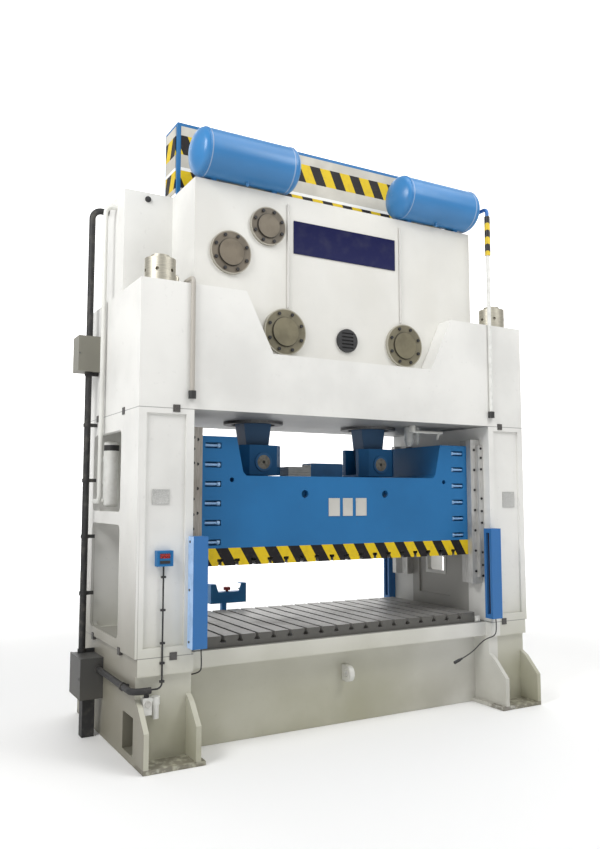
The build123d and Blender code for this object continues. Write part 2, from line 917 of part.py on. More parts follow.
# Gibs: two per side, each with a sloping face on the slide's cut corner
def makeGibs(side):
    edge = slide_half + gib_gap
    face = slide_reach + gib_gap
    points = [(throat_half, -gib_back), (throat_half, -gib_front), (gib_nose_half, -gib_front),
              (gib_nose_half, -face), (slide_half - corner_cut, -face),
              (edge, -slide_reach + corner_cut), (edge, -gib_back)]
    bar = prismZ(points, (gib_low, gib_high))
    levels = (gib_low + gib_rib_half, gib_high - gib_rib_half)
    ribs = block((throat_half - gib_rib_half, throat_half), (-gib_front - gib_rib_deep, -gib_front), levels)
    return group(bothY((bar + ribs) if side > 0 else mirrorX(bar + ribs)))


# Covers and their bolts
def coverSpots():
    return [(-eccentric_across, eccentric_level, eccentric_cover_radius),
            (eccentric_across, eccentric_level, eccentric_cover_radius),
            (mid_shaft_across, mid_shaft_level, mid_cover_radius),
            (drive_shaft_across, drive_shaft_level, drive_cover_radius)]


def makeCover(across, level, radius):
    outer = (-upper_reach - cover_thick, -upper_reach)
    raised = (-upper_reach - cover_thick - cover_rise, -upper_reach)
    return rodY(across, outer, level, radius) + rodY(across, raised, level, radius * cover_disc_share)


def makeCoverBolts():
    heads = []
    face = -upper_reach - cover_thick
    for across, level, radius in coverSpots():
        for index in range(cover_bolt_count):
            angle = 2 * math.pi * (index + 1 / 2) / cover_bolt_count
            ring = radius * bolt_ring_share
            heads.append(hexY(across + ring * math.cos(angle), (face - bolt_high, face),
                              level + ring * math.sin(angle), bolt_radius))
    return group(heads)


def makeGrille():
    face = -upper_reach - grille_thick
    body = rodY(0, (face, -upper_reach), grille_level, grille_radius)
    for index in range(grille_slot_count):
        middle = grille_level + (index - (grille_slot_count - 1) / 2) * grille_slot_step
        body -= block((-grille_slot_half, grille_slot_half), (face - overrun, face + grille_thick / 2),
                      (middle - grille_slot_high / 2, middle + grille_slot_high / 2))
    return body


# Pipes on the crown: two lubrication lines, a tall corner pipe and a short one
def cornerPipe(route):
    stand = -frame_depth_half - corner_radius
    body = pipe(route, corner_radius, corner_bend)
    body += rodZ(corner_across, stand, (corner_low, corner_low + fitting_high), fitting_radius)
    body += block((corner_across - corner_radius, corner_across + corner_radius),
                  (stand, -frame_depth_half), (corner_low, corner_low + fitting_high))
    return body - block((corner_across - fitting_radius, corner_across + fitting_radius),
                        (-frame_depth_half, -frame_depth_half + fitting_radius),
                        (corner_low - overrun, corner_low + fitting_high + overrun))


def makeCrownPipes():
    lube = rodZ(lube_across, -upper_reach - lube_radius, (lube_low, lube_high), lube_radius)
    stand = -frame_depth_half - corner_radius
    foot = (corner_across, stand, corner_low)
    tall = cornerPipe([foot, (corner_across, stand, tank_level), (corner_across, tank_along, tank_level)])
    tall += rodX((tank_far + flat_gap, corner_across), tank_along, tank_level, corner_radius)
    tall += rodZ(corner_across, stand, (sleeve_low, sleeve_high), sleeve_radius)
    bend = shoulder_top + short_pipe_rise
    entry = short_pipe_back - upper_reach
    short = cornerPipe([foot, (corner_across, stand, bend), (corner_across, entry, bend),
                        (upper_half + flat_gap, entry, bend)])
    return group(bothX(lube) + [tall, mirrorX(short)])


# Air tank with dished ends, hollow
def tankShape(trim):
    radius = tank_radius - trim
    crown = tank_crown - trim
    knuckle = tank_knuckle - trim
    middle = (tank_near + tank_far) / 2
    inset = math.sqrt((crown - knuckle) ** 2 - (radius - knuckle) ** 2)
    centre = tank_far - tank_crown
    seam = centre + inset
    lean = math.atan2(radius - knuckle, inset)
    meet = (centre + crown * math.cos(lean), crown * math.sin(lean))
    half_lean = (math.pi / 2 + lean) / 2
    bulge = (seam + knuckle * math.cos(half_lean), radius - knuckle + knuckle * math.sin(half_lean))
    swell = (centre + crown * math.cos(lean / 2), crown * math.sin(lean / 2))
    outline = [Line((middle, 0), (centre + crown, 0))]
    outline += [ThreePointArc((centre + crown, 0), swell, meet)]
    outline += [ThreePointArc(meet, bulge, (seam, radius))]
    outline += [Line((seam, radius), (middle, radius)), Line((middle, radius), (middle, 0))]
    face = make_face([edge for line in outline for edge in line.edges()])
    half = revolve(face, Axis.X)
    return Pos(0, tank_along, tank_level) * (half + half.mirror(Plane.YZ.offset(middle)))


def makeTank():
    body = tankShape(0)
    for seam in (tank_near + tank_dish, tank_far - tank_dish):
        body += rodX((seam - tank_bead_half, seam + tank_bead_half), tank_along, tank_level,
                     tank_radius + tank_bead)
    body -= tankShape(tank_wall)
    skin = tank_level - math.sqrt(tank_radius ** 2 - drain_forward ** 2)
    return body + rodZ((tank_near + tank_far) / 2, tank_along - drain_forward,
                       (skin - drain_long, skin + tank_wall / 2), drain_radius)


def makeSaddles():
    low = crown_top
    spots = (tank_near + saddle_inset, tank_far - saddle_inset)
    saddles = []
    for spot in spots:
        body = block((spot - saddle_half, spot + saddle_half), (saddle_front, saddle_rear),
                     (low, low + saddle_rise))
        body -= rodX((spot - saddle_half - overrun, spot + saddle_half + overrun), tank_along, tank_level,
                     tank_radius + flat_gap)
        saddles += bothX(body)
    return group(saddles)


# Guard rail with sheet panels
def makeGuardFrame():
    half = upper_half
    tube = guard_tube
    post = block((half - tube, half), (guard_front, guard_front + tube), (crown_top, guard_top))
    frame = post + block((half - tube, half), (guard_rear - tube, guard_rear), (crown_top, guard_top))
    for level in (guard_rail_level, guard_top):
        frame += block((half - tube, half), (guard_front, guard_rear), (level - tube, level))
    both = bothX(frame)
    whole = both[0] + both[1]
    for level in (guard_rail_level, guard_top):
        whole += block((-half, half), (guard_front, guard_front + tube), (level - tube, level))
    whole += block((-tube / 2, tube / 2), (guard_front, guard_front + tube), (crown_top, guard_top))
    return whole


def makeGuardPanels():
    inner = upper_half - guard_tube
    levels = (crown_top + panel_lift, guard_top - guard_tube)
    front = block((-inner, inner), (guard_front - panel_thick, guard_front), levels)
    side = block((upper_half, upper_half + panel_thick), (guard_front + guard_tube, guard_rear - guard_tube), levels)
    return group([front] + bothX(side))


# Motor on the crown's top, shaft to the rear
def makeMotor():
    along = (motor_front, motor_rear)
    body = rodY(motor_across, along, motor_level, motor_radius)
    body += block((motor_across - motor_foot_half, motor_across + motor_foot_half), along,
                  (crown_top, motor_level - motor_radius / 2))
    body += block((motor_across - motor_box_half, motor_across + motor_box_half),
                  (motor_front + motor_box_half, motor_front + 3 * motor_box_half),
                  (motor_level, motor_level + motor_box_high))
    return body + rodY(motor_across, (motor_rear, belt_near - free_gap), motor_level, motor_foot_half / 2)


def makePulley():
    body = rodY(motor_across, (belt_near, belt_far), motor_level, pulley_radius)
    body -= grooves(motor_across, motor_level, pulley_radius)
    return body + rodY(motor_across, (belt_far, motor_shaft_end), motor_level, motor_shaft_radius)


def beltSpots():
    pitch = (belt_far - belt_near) / belt_count
    return [belt_near + pitch * (index + 1 / 2) for index in range(belt_count)]


def grooves(across, level, radius):
    cuts = []
    half = belt_wide / 2 + flat_gap
    for spot in beltSpots():
        ring = rodY(across, (spot - half, spot + half), level, radius + overrun)
        cuts.append(ring - rodY(across, (spot - half - overrun, spot + half + overrun), level,
                                radius - belt_thick / 2 - flat_gap))
    return cuts


def beltLoop(lift, along):
    small = Pos(motor_across, motor_level) * Circle(pulley_radius + lift)
    large = Pos(drive_shaft_across, drive_shaft_level) * Circle(flywheel_radius + lift)
    flat = make_hull(small.edges() + large.edges())
    return extrude(Plane.XZ.offset(-max(along)) * flat, amount=max(along) - min(along))


def makeBelts():
    loops = []
    for spot in beltSpots():
        along = (spot - belt_wide / 2, spot + belt_wide / 2)
        inner = (spot - belt_wide / 2 - overrun, spot + belt_wide / 2 + overrun)
        loops.append(beltLoop(belt_thick / 2, along) - beltLoop(-belt_thick / 2, inner))
    return group(loops)


def makeFlywheel():
    along = (flywheel_near, flywheel_far)
    body = rodY(drive_shaft_across, along, drive_shaft_level, flywheel_radius)
    inner = flywheel_radius - flywheel_rim
    middle = (flywheel_near + flywheel_far) / 2
    faces = [(flywheel_near - overrun, middle - flywheel_web / 2)]
    faces += [(middle + flywheel_web / 2, flywheel_far + overrun)]
    for face in faces:
        ring = rodY(drive_shaft_across, face, drive_shaft_level, inner)
        body -= ring - rodY(drive_shaft_across, face, drive_shaft_level, flywheel_hub)
    body -= grooves(drive_shaft_across, drive_shaft_level, flywheel_radius)
    past = (flywheel_near - overrun, flywheel_far + overrun)
    return body - rodY(drive_shaft_across, past, drive_shaft_level, drive_shaft_radius + running_gap)


def makeBeltGuard():
    outer = beltLoop(guard_gap + guard_sheet, (upper_reach, guard_far))
    inner = beltLoop(guard_gap, (upper_reach + guard_sheet, guard_far - guard_sheet))
    body = outer - inner
    sheet = (upper_reach - overrun, upper_reach + guard_sheet + overrun)
    body -= rodY(drive_shaft_across, sheet, drive_shaft_level, guard_shaft_hole)
    return body - rodY(motor_across, sheet, motor_level, motor_foot_half / 2 + free_gap)


# Shafts and eccentric gears
def makeDriveShaft():
    body = rodY(drive_shaft_across, (-upper_reach, shaft_rear_end), drive_shaft_level, drive_shaft_radius)
    face = (small_gear_near - gear_face_margin, small_gear_far + gear_face_margin)
    return body + gear(drive_shaft_across, drive_shaft_level, face, small_module, drive_teeth, drive_phase)


def makeMidShaft():
    body = rodY(mid_shaft_across, (-upper_reach, upper_reach), mid_shaft_level, mid_shaft_radius)
    face = (big_gear_near - gear_face_margin, big_gear_far + gear_face_margin)
    body += gear(mid_shaft_across, mid_shaft_level, face, big_module, small_teeth, pinion_phase)
    wheel_face = (small_gear_near, small_gear_far)
    return body + gear(mid_shaft_across, mid_shaft_level, wheel_face, small_module, wheel_teeth, pinion_phase)


def makeEccentric(across, phase):
    face = (big_gear_near, big_gear_far)
    body = gear(across, eccentric_level, face, big_module, eccentric_teeth, phase)
    for index in range(web_hole_count):
        angle = 2 * math.pi * index / web_hole_count
        spot = (across + web_hole_ring * math.cos(angle), eccentric_level + web_hole_ring * math.sin(angle))
        body -= rodY(spot[0], (big_gear_near - overrun, big_gear_far + overrun), spot[1], web_hole_radius)
    body += rodY(across, (sheave_half, big_gear_near), eccentric_level, hub_radius)
    body += rodY(across, (-sheave_half, sheave_half), eccentric_level + eccentric_throw, sheave_radius)
    past = (-sheave_half - overrun, big_gear_far + overrun)
    return body - rodY(across, past, eccentric_level, pin_radius + running_gap)


def makePins():
    return group(bothX(rodY(eccentric_across, (-upper_reach, upper_reach), eccentric_level, pin_radius)))


def makeNeckRings():
    levels = (crown_base - neck_ring_thick, crown_base)
    ring = rodZ(eccentric_across, 0, levels, neck_ring_radius)
    past = (levels[0] - overrun, crown_base + overrun)
    return group(bothX(ring - rodZ(eccentric_across, 0, past, neck_bore)))


# Con-rod: oval big end leaves room for the sheave's sideways throw
def makeConRod(across):
    along = (-rod_thick_half, rod_thick_half)
    past = (-rod_thick_half - overrun, rod_thick_half + overrun)
    middle = eccentric_level + eccentric_throw
    half_wide = sheave_radius + eccentric_throw + big_end_gap
    half_high = sheave_radius + eccentric_throw * big_end_lift_share + big_end_gap
    body = obroundY(across, middle, along, half_wide + big_end_wall, half_high + big_end_wall)
    top = middle - shank_top_drop
    shank = [(across - small_end_radius, small_end_level), (across + small_end_radius, small_end_level),
             (across + shank_top_half, top), (across - shank_top_half, top)]
    body += prismY(shank, along)
    body += rodY(across, along, small_end_level, small_end_radius)
    body -= obroundY(across, middle, past, half_wide, half_high)
    return body - rodY(across, past, small_end_level, wrist_radius + running_gap)


def makeWristPins():
    body = rodY(eccentric_across, (-head_depth_half, head_depth_half), small_end_level, wrist_radius)
    cap = (-head_depth_half - wrist_cap_thick, -head_depth_half)
    body += rodY(eccentric_across, cap, small_end_level, wrist_cap_radius)
    return group(bothX(body))


def makePitmanScrews():
    corners = [(head_half - head_cut, -head_depth_half), (head_half, -head_depth_half + head_cut)]
    corners += [(head_half, head_depth_half - head_cut), (head_half - head_cut, head_depth_half)]
    corners += [(-across, -along) for across, along in corners]
    body = Pos(eccentric_across, 0, 0) * prismZ(corners, (head_low, head_high))
    fork = rod_thick_half + fork_gap
    body -= block((eccentric_across - head_half - overrun, eccentric_across + head_half + overrun),
                  (-fork, fork), (small_end_level - small_end_radius - free_gap, head_high + overrun))
    past = (-head_depth_half - overrun, head_depth_half + overrun)
    body -= rodY(eccentric_across, past, small_end_level, wrist_radius + running_gap)
    body += rodZ(eccentric_across, 0, (screw_low, head_low), screw_radius)
    return group(bothX(body))


# Slide: open box with two towers
def cutCorners():
    low = slide_half - corner_cut
    deep = slide_reach - corner_cut
    corners = [(low, -slide_reach), (slide_half, -deep), (slide_half, deep), (low, slide_reach)]
    return corners + [(-across, -along) for across, along in corners]


def pushLevels():
    return [push_first - push_step * index for index in range(push_count)]


def makeSlide():
    front = [(-slide_half, slide_low), (slide_half, slide_low), (slide_half, ear_top), (ear_inner, ear_top),
             (ear_foot, slide_mid_top + ear_foot_rise), (ear_foot - ear_foot_rise, slide_mid_top),
             (ear_foot_rise - ear_foot, slide_mid_top), (-ear_foot, slide_mid_top + ear_foot_rise),
             (-ear_inner, ear_top), (-slide_half, ear_top)]
    body = prismY(front, (-slide_reach, slide_reach)) & prismZ(cutCorners(), (slide_low, ear_top))
    well_half = ear_foot - slide_cheek
    well_reach = slide_reach - slide_wall
    floor_top = slide_low + slide_floor
    body -= block((-well_half, well_half), (-well_reach, well_reach), (floor_top, ear_top + overrun))
    tower_reach = well_reach - pocket_deep
    tower = block((ear_inner + slide_cheek, slide_half - slide_cheek), (-tower_reach, tower_reach),
                  (slide_low - overrun, ear_top - slide_wall))
    boss = rodZ(eccentric_across, 0, (slide_low, boss_top), boss_radius)
    bore = rodZ(eccentric_across, 0, (screw_low - screw_bottom_room, boss_top + overrun),
                screw_radius + running_gap)
    for cut in bothX(tower):
        body -= cut
    for piece in bothX(boss):
        body += piece
    body += block((-shelf_half, shelf_half), (shelf_near, 0), (floor_top, shelf_top))
    walls = (-slide_reach - overrun, -well_reach + overrun)
    view_hole = rodY(view_hole_across, walls, view_hole_level, view_hole_radius)
    lift_hole = rodY(lift_hole_across, walls, lift_hole_level, lift_hole_radius)
    for cut in bothX(bore) + fourWays(view_hole) + fourWays(lift_hole):
        body -= cut
    for level in pushLevels():
        pocket = block((pocket_near, pocket_far), (-slide_reach - overrun, -slide_reach + pocket_deep),
                       (level - pocket_high_half, level + pocket_high_half))
        hole = rodX((pocket_far - overrun, pocket_far + push_bottom), -slide_reach + push_set_in, level,
                    push_radius + running_gap)
        for cut in fourWays(pocket + hole):
            body -= cut
    return body


def makePushScrews():
    screws = []
    along = -slide_reach + push_set_in
    for level in pushLevels():
        screw = rodX((pocket_near + push_tail, pocket_far + push_tail), along, level, push_radius)
        screw += hexX((pocket_near + push_tail - push_head_long, pocket_near + push_tail), along, level,
                      push_head_radius)
        screws += fourWays(screw)
    return group(screws)


def makeSlidePlate():
    return prismZ(cutCorners(), (plate_low, slide_low)) - slotRow(plate_low, True, slide_reach)


def makeAdjuster():
    along = (gear_motor_front, gear_motor_rear)
    box = block((gear_motor_split, gear_motor_far), along, (shelf_top, gear_motor_top))
    box = fillet(box.edges().filter_by(Axis.Y), gear_motor_round)
    motor_top = gear_motor_top - gear_motor_low_trim
    return box + block((gear_motor_near, gear_motor_split + gear_motor_round), along,
                       (shelf_top + gear_motor_low_trim, motor_top))


# Light curtain housings on the uprights' front and rear edges
def makeCurtain(side, front):
    back = frame_depth_half
    far = back + curtain_depth
    body = block((curtain_near, curtain_far), (-far, -back), (curtain_low, curtain_high))
    middle = -(back + far) / 2
    body -= block((curtain_near - overrun, curtain_near + curtain_slot_deep),
                  (middle - curtain_slot_half, middle + curtain_slot_half),
                  (curtain_low + curtain_slot_trim, curtain_high - curtain_slot_trim))
    body = body if side > 0 else mirrorX(body)
    return body if front else mirrorY(body)


def makeRearCurtains():
    return group([makeCurtain(1, False), makeCurtain(-1, False)])


# Display box with a sunk window and the cable clipped down the upright
def makeDisplay():
    face = -frame_depth_half - display_depth
    body = block((display_near, display_far), (face, -frame_depth_half + panel_deep),
                 (display_low, display_high))
    return body - block((display_near + display_rim, display_far - display_rim),
                        (face - overrun, face + display_sunk), (display_low + display_rim,
                                                               display_high - display_rim))


def makeDisplayCable():
    along = -frame_depth_half - cable_radius
    return pipe([(cable_across, along, display_low), (cable_across, along, joint_level),
                 (joint_across, along, joint_level)], cable_radius, cable_bend)


# Junction boxes: sheet shells with hinged doors
def makeJunctionBox(near, far, front, rear, levels):
    low, high = levels
    body = block((near, far), (front, rear), levels)
    body -= block((near - box_sheet, far - overrun), (front + box_sheet, rear - box_sheet),
                  (low + box_sheet, high - box_sheet))
    knuckle_room = (high - low) * knuckle_share
    axis_across = far - door_thick / 2
    axis_along = rear + knuckle_radius + knuckle_gap
    for span in ((low, low + knuckle_room - flat_gap), (high - knuckle_room + flat_gap, high)):
        lug = rodZ(axis_across, axis_along, span, knuckle_radius)
        arm = [(far + knuckle_radius, rear), (axis_across, axis_along + knuckle_radius / 2),
               (axis_across, axis_along - knuckle_radius / 2), (far, rear)]
        body += lug
        body += prismZ(arm, span)
    return body


def makeDoor(far, front, rear, levels):
    low, high = levels
    outer = far - door_thick
    body = block((far, outer), (front, rear), levels)
    knuckle_room = (high - low) * knuckle_share
    axis_across = far - door_thick / 2
    axis_along = rear + knuckle_radius + knuckle_gap
    span = (low + knuckle_room, high - knuckle_room)
    body -= block((far + overrun, outer - overrun), (rear - knuckle_gap, rear + overrun),
                  (low - overrun, low + knuckle_room))
    body -= block((far + overrun, outer - overrun), (rear - knuckle_gap, rear + overrun),
                  (high - knuckle_room, high + overrun))
    half = knuckle_radius / 2
    body += rodZ(axis_across, axis_along, span, knuckle_radius)
    return body + block((axis_across - half, axis_across + half), (rear - overrun, axis_along), span)


# Conduits between the boxes, up to the crown and round to the front
def makeConduits():
    upper_run = rodZ(conduit_across, conduit_along, (lower_box_high, upper_box_low), conduit_radius)
    step = (upper_box_low - lower_box_high) / collar_count
    for index in range(collar_count + 1):
        low = lower_box_high + step * index
        low = min(max(low, lower_box_high), upper_box_low - collar_long)
        upper_run += rodZ(conduit_across, conduit_along, (low, low + collar_long),
                          conduit_radius * collar_share)
        clip = (-frame_half if low > bed_top else -bed_half)
        upper_run += block((conduit_across, clip), (conduit_along - collar_long / 2,
                           conduit_along + collar_long / 2), (low, low + collar_long))
    top = pipe([(conduit_across, conduit_along, upper_box_high), (conduit_across, conduit_along, conduit_top),
                (-wing_half, conduit_along, conduit_top)], conduit_radius, conduit_bend)
    front = -frame_depth_half - side_conduit_radius
    side = pipe([(side_conduit_across, lower_box_front, joint_level),
                 (side_conduit_across, front, joint_level),
                 (joint_across - flat_gap, front, joint_level)], side_conduit_radius, side_conduit_bend)
    for spot in (lower_box_front - collar_long, -rod_along):
        side += rodY(side_conduit_across, (spot, spot + collar_long), joint_level,
                     side_conduit_radius * collar_share)
    side += block((side_conduit_across, -bed_half), (-rod_along, -rod_along + collar_long),
                  (joint_level - collar_long / 2, joint_level + collar_long / 2))
    duct = block((conduit_across - duct_half, conduit_across + duct_half), (duct_front, duct_rear),
                 (0, lower_box_low))
    return group([upper_run, top, side, duct])


# Air service unit on the left foot
def makeAirUnit():
    back = -foot_face
    body = block((unit_near, unit_far), (back - unit_reach, back), (unit_low, unit_high))
    middle = back - unit_reach / 2
    body += rodX((unit_far - overrun, bowl_across), middle, unit_high - bowl_neck, bowl_neck)
    body += rodZ(bowl_across, middle, (bowl_shoulder, unit_high), bowl_radius)
    return body + rodZ(bowl_across, middle, (bowl_low, bowl_shoulder), bowl_radius - bowl_neck / 3)


# Balance vessel in the upright's window and its pipe to the crown
def makeVessel():
    body = rodZ(vessel_across, vessel_along, (vessel_low, vessel_high), vessel_radius)
    body = fillet(body.edges().filter_by(GeomType.CIRCLE), vessel_round)
    level = (vessel_low + vessel_high) / 2
    for high in (level - vessel_radius, level + 2 * vessel_radius):
        body += block((vessel_bar_across - vessel_bar_half, vessel_bar_across + vessel_bar_half),
                      (vessel_along, window_far),
                      (high - vessel_bar_half, high + vessel_bar_half))
    return body


def makeBalancePipe():
    route = [(vessel_across - vessel_radius, vessel_along, balance_entry)]
    route += [(balance_across, vessel_along, balance_entry)]
    route += [(balance_across, balance_along, balance_entry), (balance_across, balance_along, balance_high)]
    route += [(-wing_half, balance_along, balance_high)]
    return pipe(route, balance_radius, balance_bend)


# Console at the back: start buttons under end hoods, stop button between
def buttonSpots():
    inset = hood_wide / 2
    return [console_near + inset, (console_near + console_far) / 2, console_far - inset]


def makeHood():
    near = console_far - hood_wide
    top = console_high + hood_high
    points = [(near, console_high), (console_far, console_high), (console_far, top), (near + hood_slope, top)]
    body = prismY(points, (console_front, console_rear))
    sheet = console_sheet
    room = [(near - overrun, console_high - overrun), (console_far - sheet, console_high - overrun)]
    room += [(console_far - sheet, top - sheet), (near - overrun, top - sheet)]
    return body - prismY(room, (console_front + sheet, console_rear + overrun))


def makeConsole():
    levels = (console_low, console_high)
    sheet = console_sheet
    body = block((console_near, console_far), (console_front, console_rear), levels)
    middle = (console_near + console_far) / 2
    hood = makeHood()
    body += hood
    body += hood.mirror(Plane.YZ.offset(middle))
    body -= block((console_near + sheet, console_far - sheet), (console_front + sheet, console_rear - sheet),
                  (console_low + sheet, console_high - sheet))
    centre = (console_front + console_rear) / 2
    low = bed_top - flange_deep
    body += block((post_across - post_half, post_across + post_half),
                  (centre - post_half, centre + post_half), (low, console_low))
    body += block((post_across - post_shoe, post_across + post_shoe), (flange_reach, centre + post_half),
                  (low, low + post_shoe_thick))
    body += block((post_across - post_shoe, post_across + post_shoe),
                  (flange_reach, flange_reach + post_shoe_thick), (low, bed_top))
    for spot in buttonSpots():
        past = (console_high - sheet - overrun, console_high + overrun)
        body -= rodZ(spot, centre, past, button_radius + flat_gap)
    return body


def makeButton(spot, head_radius, head_thick):
    centre = (console_front + console_rear) / 2
    head_low = console_high + button_lift
    stem = rodZ(spot, centre, (console_high - console_sheet - button_inside, head_low), button_radius)
    return stem + rodZ(spot, centre, (head_low, head_low + head_thick), head_radius)


# Free leads: round tube along straight runs joined by arcs
def bendRadii(points):
    radii = []
    for index in range(1, len(points) - 1):
        before = Vector(*points[index]) - Vector(*points[index - 1])
        after = Vector(*points[index + 1]) - Vector(*points[index])
        half_turn = math.radians(before.get_angle(after)) / 2
        radii.append(bend_share * min(before.length, after.length) / math.tan(half_turn))
    return radii


def makeLead(name, points, radius):
    radii = bendRadii(points)
    route = FilletPolyline(*points, radius=radii)
    lead = sweep(Plane(origin=route @ 0, z_dir=route % 0) * Circle(radius), path=route)
    section = math.pi * radius ** 2 * route.length
    print(name, "radii", [round(bend, 2) for bend in radii], "length", round(route.length, 1),
          "volume ratio", round(lead.volume / section, 5))
    return lead


# Bends are given from the corner of the bed's top under each curtain
def fromCorner(across, bends):
    return [(across + bend[0], -frame_depth_half + bend[1], bed_top + bend[2]) for bend in bends]


left_cable_route = fromCorner(-throat_half, [left_cable_start, left_cable_drop, left_cable_turn,
                                             left_cable_end])
lead_route = fromCorner(throat_half, [lead_start, lead_drop, lead_elbow, lead_level, lead_bow, lead_fall,
                                      lead_tail, lead_end])


def makePlug():
    tail = Vector(*lead_route[-2])
    end = Vector(*lead_route[-1])
    away = (end - tail).normalized()
    grip = Plane(origin=end, z_dir=away) * Pos(0, 0, plug_grip_long / 2)
    body = grip * Cylinder(plug_grip_radius, plug_grip_long)
    shell = Plane(origin=end + away * plug_grip_long, z_dir=away) * Pos(0, 0, plug_long / 2)
    return body + shell * Cylinder(plug_radius, plug_long)


upright_right = makeUpright()
tank_right = makeTank()
upper_box_levels = (upper_box_low, upper_box_high)
lower_box_levels = (lower_box_low, lower_box_high)
spots = buttonSpots()
covers = [makeCover(*spot) for spot in coverSpots()]

parts = {
    "bed": makeBed(),
    "upright_left": mirrorX(upright_right),
    "upright_right": upright_right,
    "crown": makeCrown(),
    "tie_rods": makeTieRods(),
    "tie_rod_nuts": makeTieRodNuts(),
    "seam_keys": group(seamKeys(bed_top, False) + seamKeys(crown_base, False)),
    "bolster": makeBolster(),
    "gibs_left": makeGibs(-1),
    "gibs_right": makeGibs(1),
    "eccentric_covers": group(covers[:2]),
    "intermediate_shaft_cover": covers[2],
    "drive_shaft_cover": covers[3],
    "cover_bolts": makeCoverBolts(),
    "breather_grille": makeGrille(),
    "crown_pipes": makeCrownPipes(),
    "air_tank_left": mirrorX(tank_right),
    "air_tank_right": tank_right,
    "tank_saddles": makeSaddles(),
    "guard_frame": makeGuardFrame(),
    "guard_panels": makeGuardPanels(),
    "drive_motor": makeMotor(),
    "motor_pulley": makePulley(),
    "drive_belts": makeBelts(),
    "flywheel": makeFlywheel(),
    "belt_guard": makeBeltGuard(),
    "drive_shaft": makeDriveShaft(),
    "intermediate_shaft": makeMidShaft(),
    "eccentric_gear_left": makeEccentric(-eccentric_across, left_phase),
    "eccentric_gear_right": makeEccentric(eccentric_across, right_phase),
    "eccentric_pins": makePins(),
    "neck_rings": makeNeckRings(),
    "con_rod_left": makeConRod(-eccentric_across),
    "con_rod_right": makeConRod(eccentric_across),
    "wrist_pins": makeWristPins(),
    "pitman_screws": makePitmanScrews(),
    "slide": makeSlide(),
    "slide_plate": makeSlidePlate(),
    "gib_screws": makePushScrews(),
    "adjuster_drive": makeAdjuster(),
    "light_curtain_left": makeCurtain(-1, True),
    "light_curtain_right": makeCurtain(1, True),
    "rear_light_curtains": makeRearCurtains(),
    "display_box": makeDisplay(),
    "display_cable": makeDisplayCable(),
    "upper_junction_box": makeJunctionBox(upper_box_near, upper_box_far, upper_box_front, upper_box_rear,
                                          upper_box_levels),
    "upper_box_door": makeDoor(upper_box_far, upper_box_front, upper_box_rear, upper_box_levels),
    "lower_junction_box": makeJunctionBox(lower_box_near, lower_box_far, lower_box_front, lower_box_rear,
                                          lower_box_levels),
    "lower_box_door": makeDoor(lower_box_far, lower_box_front, lower_box_rear, lower_box_levels),
    "conduits": makeConduits(),
    "air_service_unit": makeAirUnit(),
    "balance_vessel": makeVessel(),
    "balance_pipe": makeBalancePipe(),
    "console": makeConsole(),
    "start_button_left": makeButton(spots[0], button_head_radius, button_head_thick),
    "stop_button": makeButton(spots[1], stop_head_radius, stop_head_thick),
    "start_button_right": makeButton(spots[2], button_head_radius, button_head_thick),
    "left_cable": makeLead("left_cable", left_cable_route, left_cable_radius),
    "right_lead": makeLead("right_lead", lead_route, lead_radius),
    "lead_connector": makePlug(),
}

os.makedirs("parts", exist_ok=True)
for name, shape in parts.items():
    export_step(shape, "parts/" + name + ".step")
print(len(parts), "nodes")
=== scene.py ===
import bpy
import math
from mathutils import Matrix, Vector


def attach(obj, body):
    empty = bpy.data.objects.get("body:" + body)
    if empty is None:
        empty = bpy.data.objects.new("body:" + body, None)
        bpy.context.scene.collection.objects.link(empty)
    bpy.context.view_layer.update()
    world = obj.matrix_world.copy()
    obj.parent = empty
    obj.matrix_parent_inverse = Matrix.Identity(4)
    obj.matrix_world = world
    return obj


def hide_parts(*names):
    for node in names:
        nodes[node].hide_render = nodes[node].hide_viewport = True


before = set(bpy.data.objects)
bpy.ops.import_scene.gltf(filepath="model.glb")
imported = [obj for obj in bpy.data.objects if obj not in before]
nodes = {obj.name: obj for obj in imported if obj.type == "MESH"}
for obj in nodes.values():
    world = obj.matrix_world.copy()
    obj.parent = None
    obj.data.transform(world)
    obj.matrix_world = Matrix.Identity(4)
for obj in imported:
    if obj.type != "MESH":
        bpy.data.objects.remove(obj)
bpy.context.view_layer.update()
print("press loaded:", len(nodes), "nodes")


# camera where the photographer stood
cameraSetup = {"place": (-3.7448, -6.3870, 1.9409), "tilt": 95.25, "turn": -29.44, "lens": 33.155}
bpy.ops.object.camera_add(location=cameraSetup["place"],
                          rotation=(math.radians(cameraSetup["tilt"]), 0, math.radians(cameraSetup["turn"])))
camera = bpy.context.object
camera.data.lens = cameraSetup["lens"]
camera.data.clip_end = 100
bpy.context.scene.camera = camera


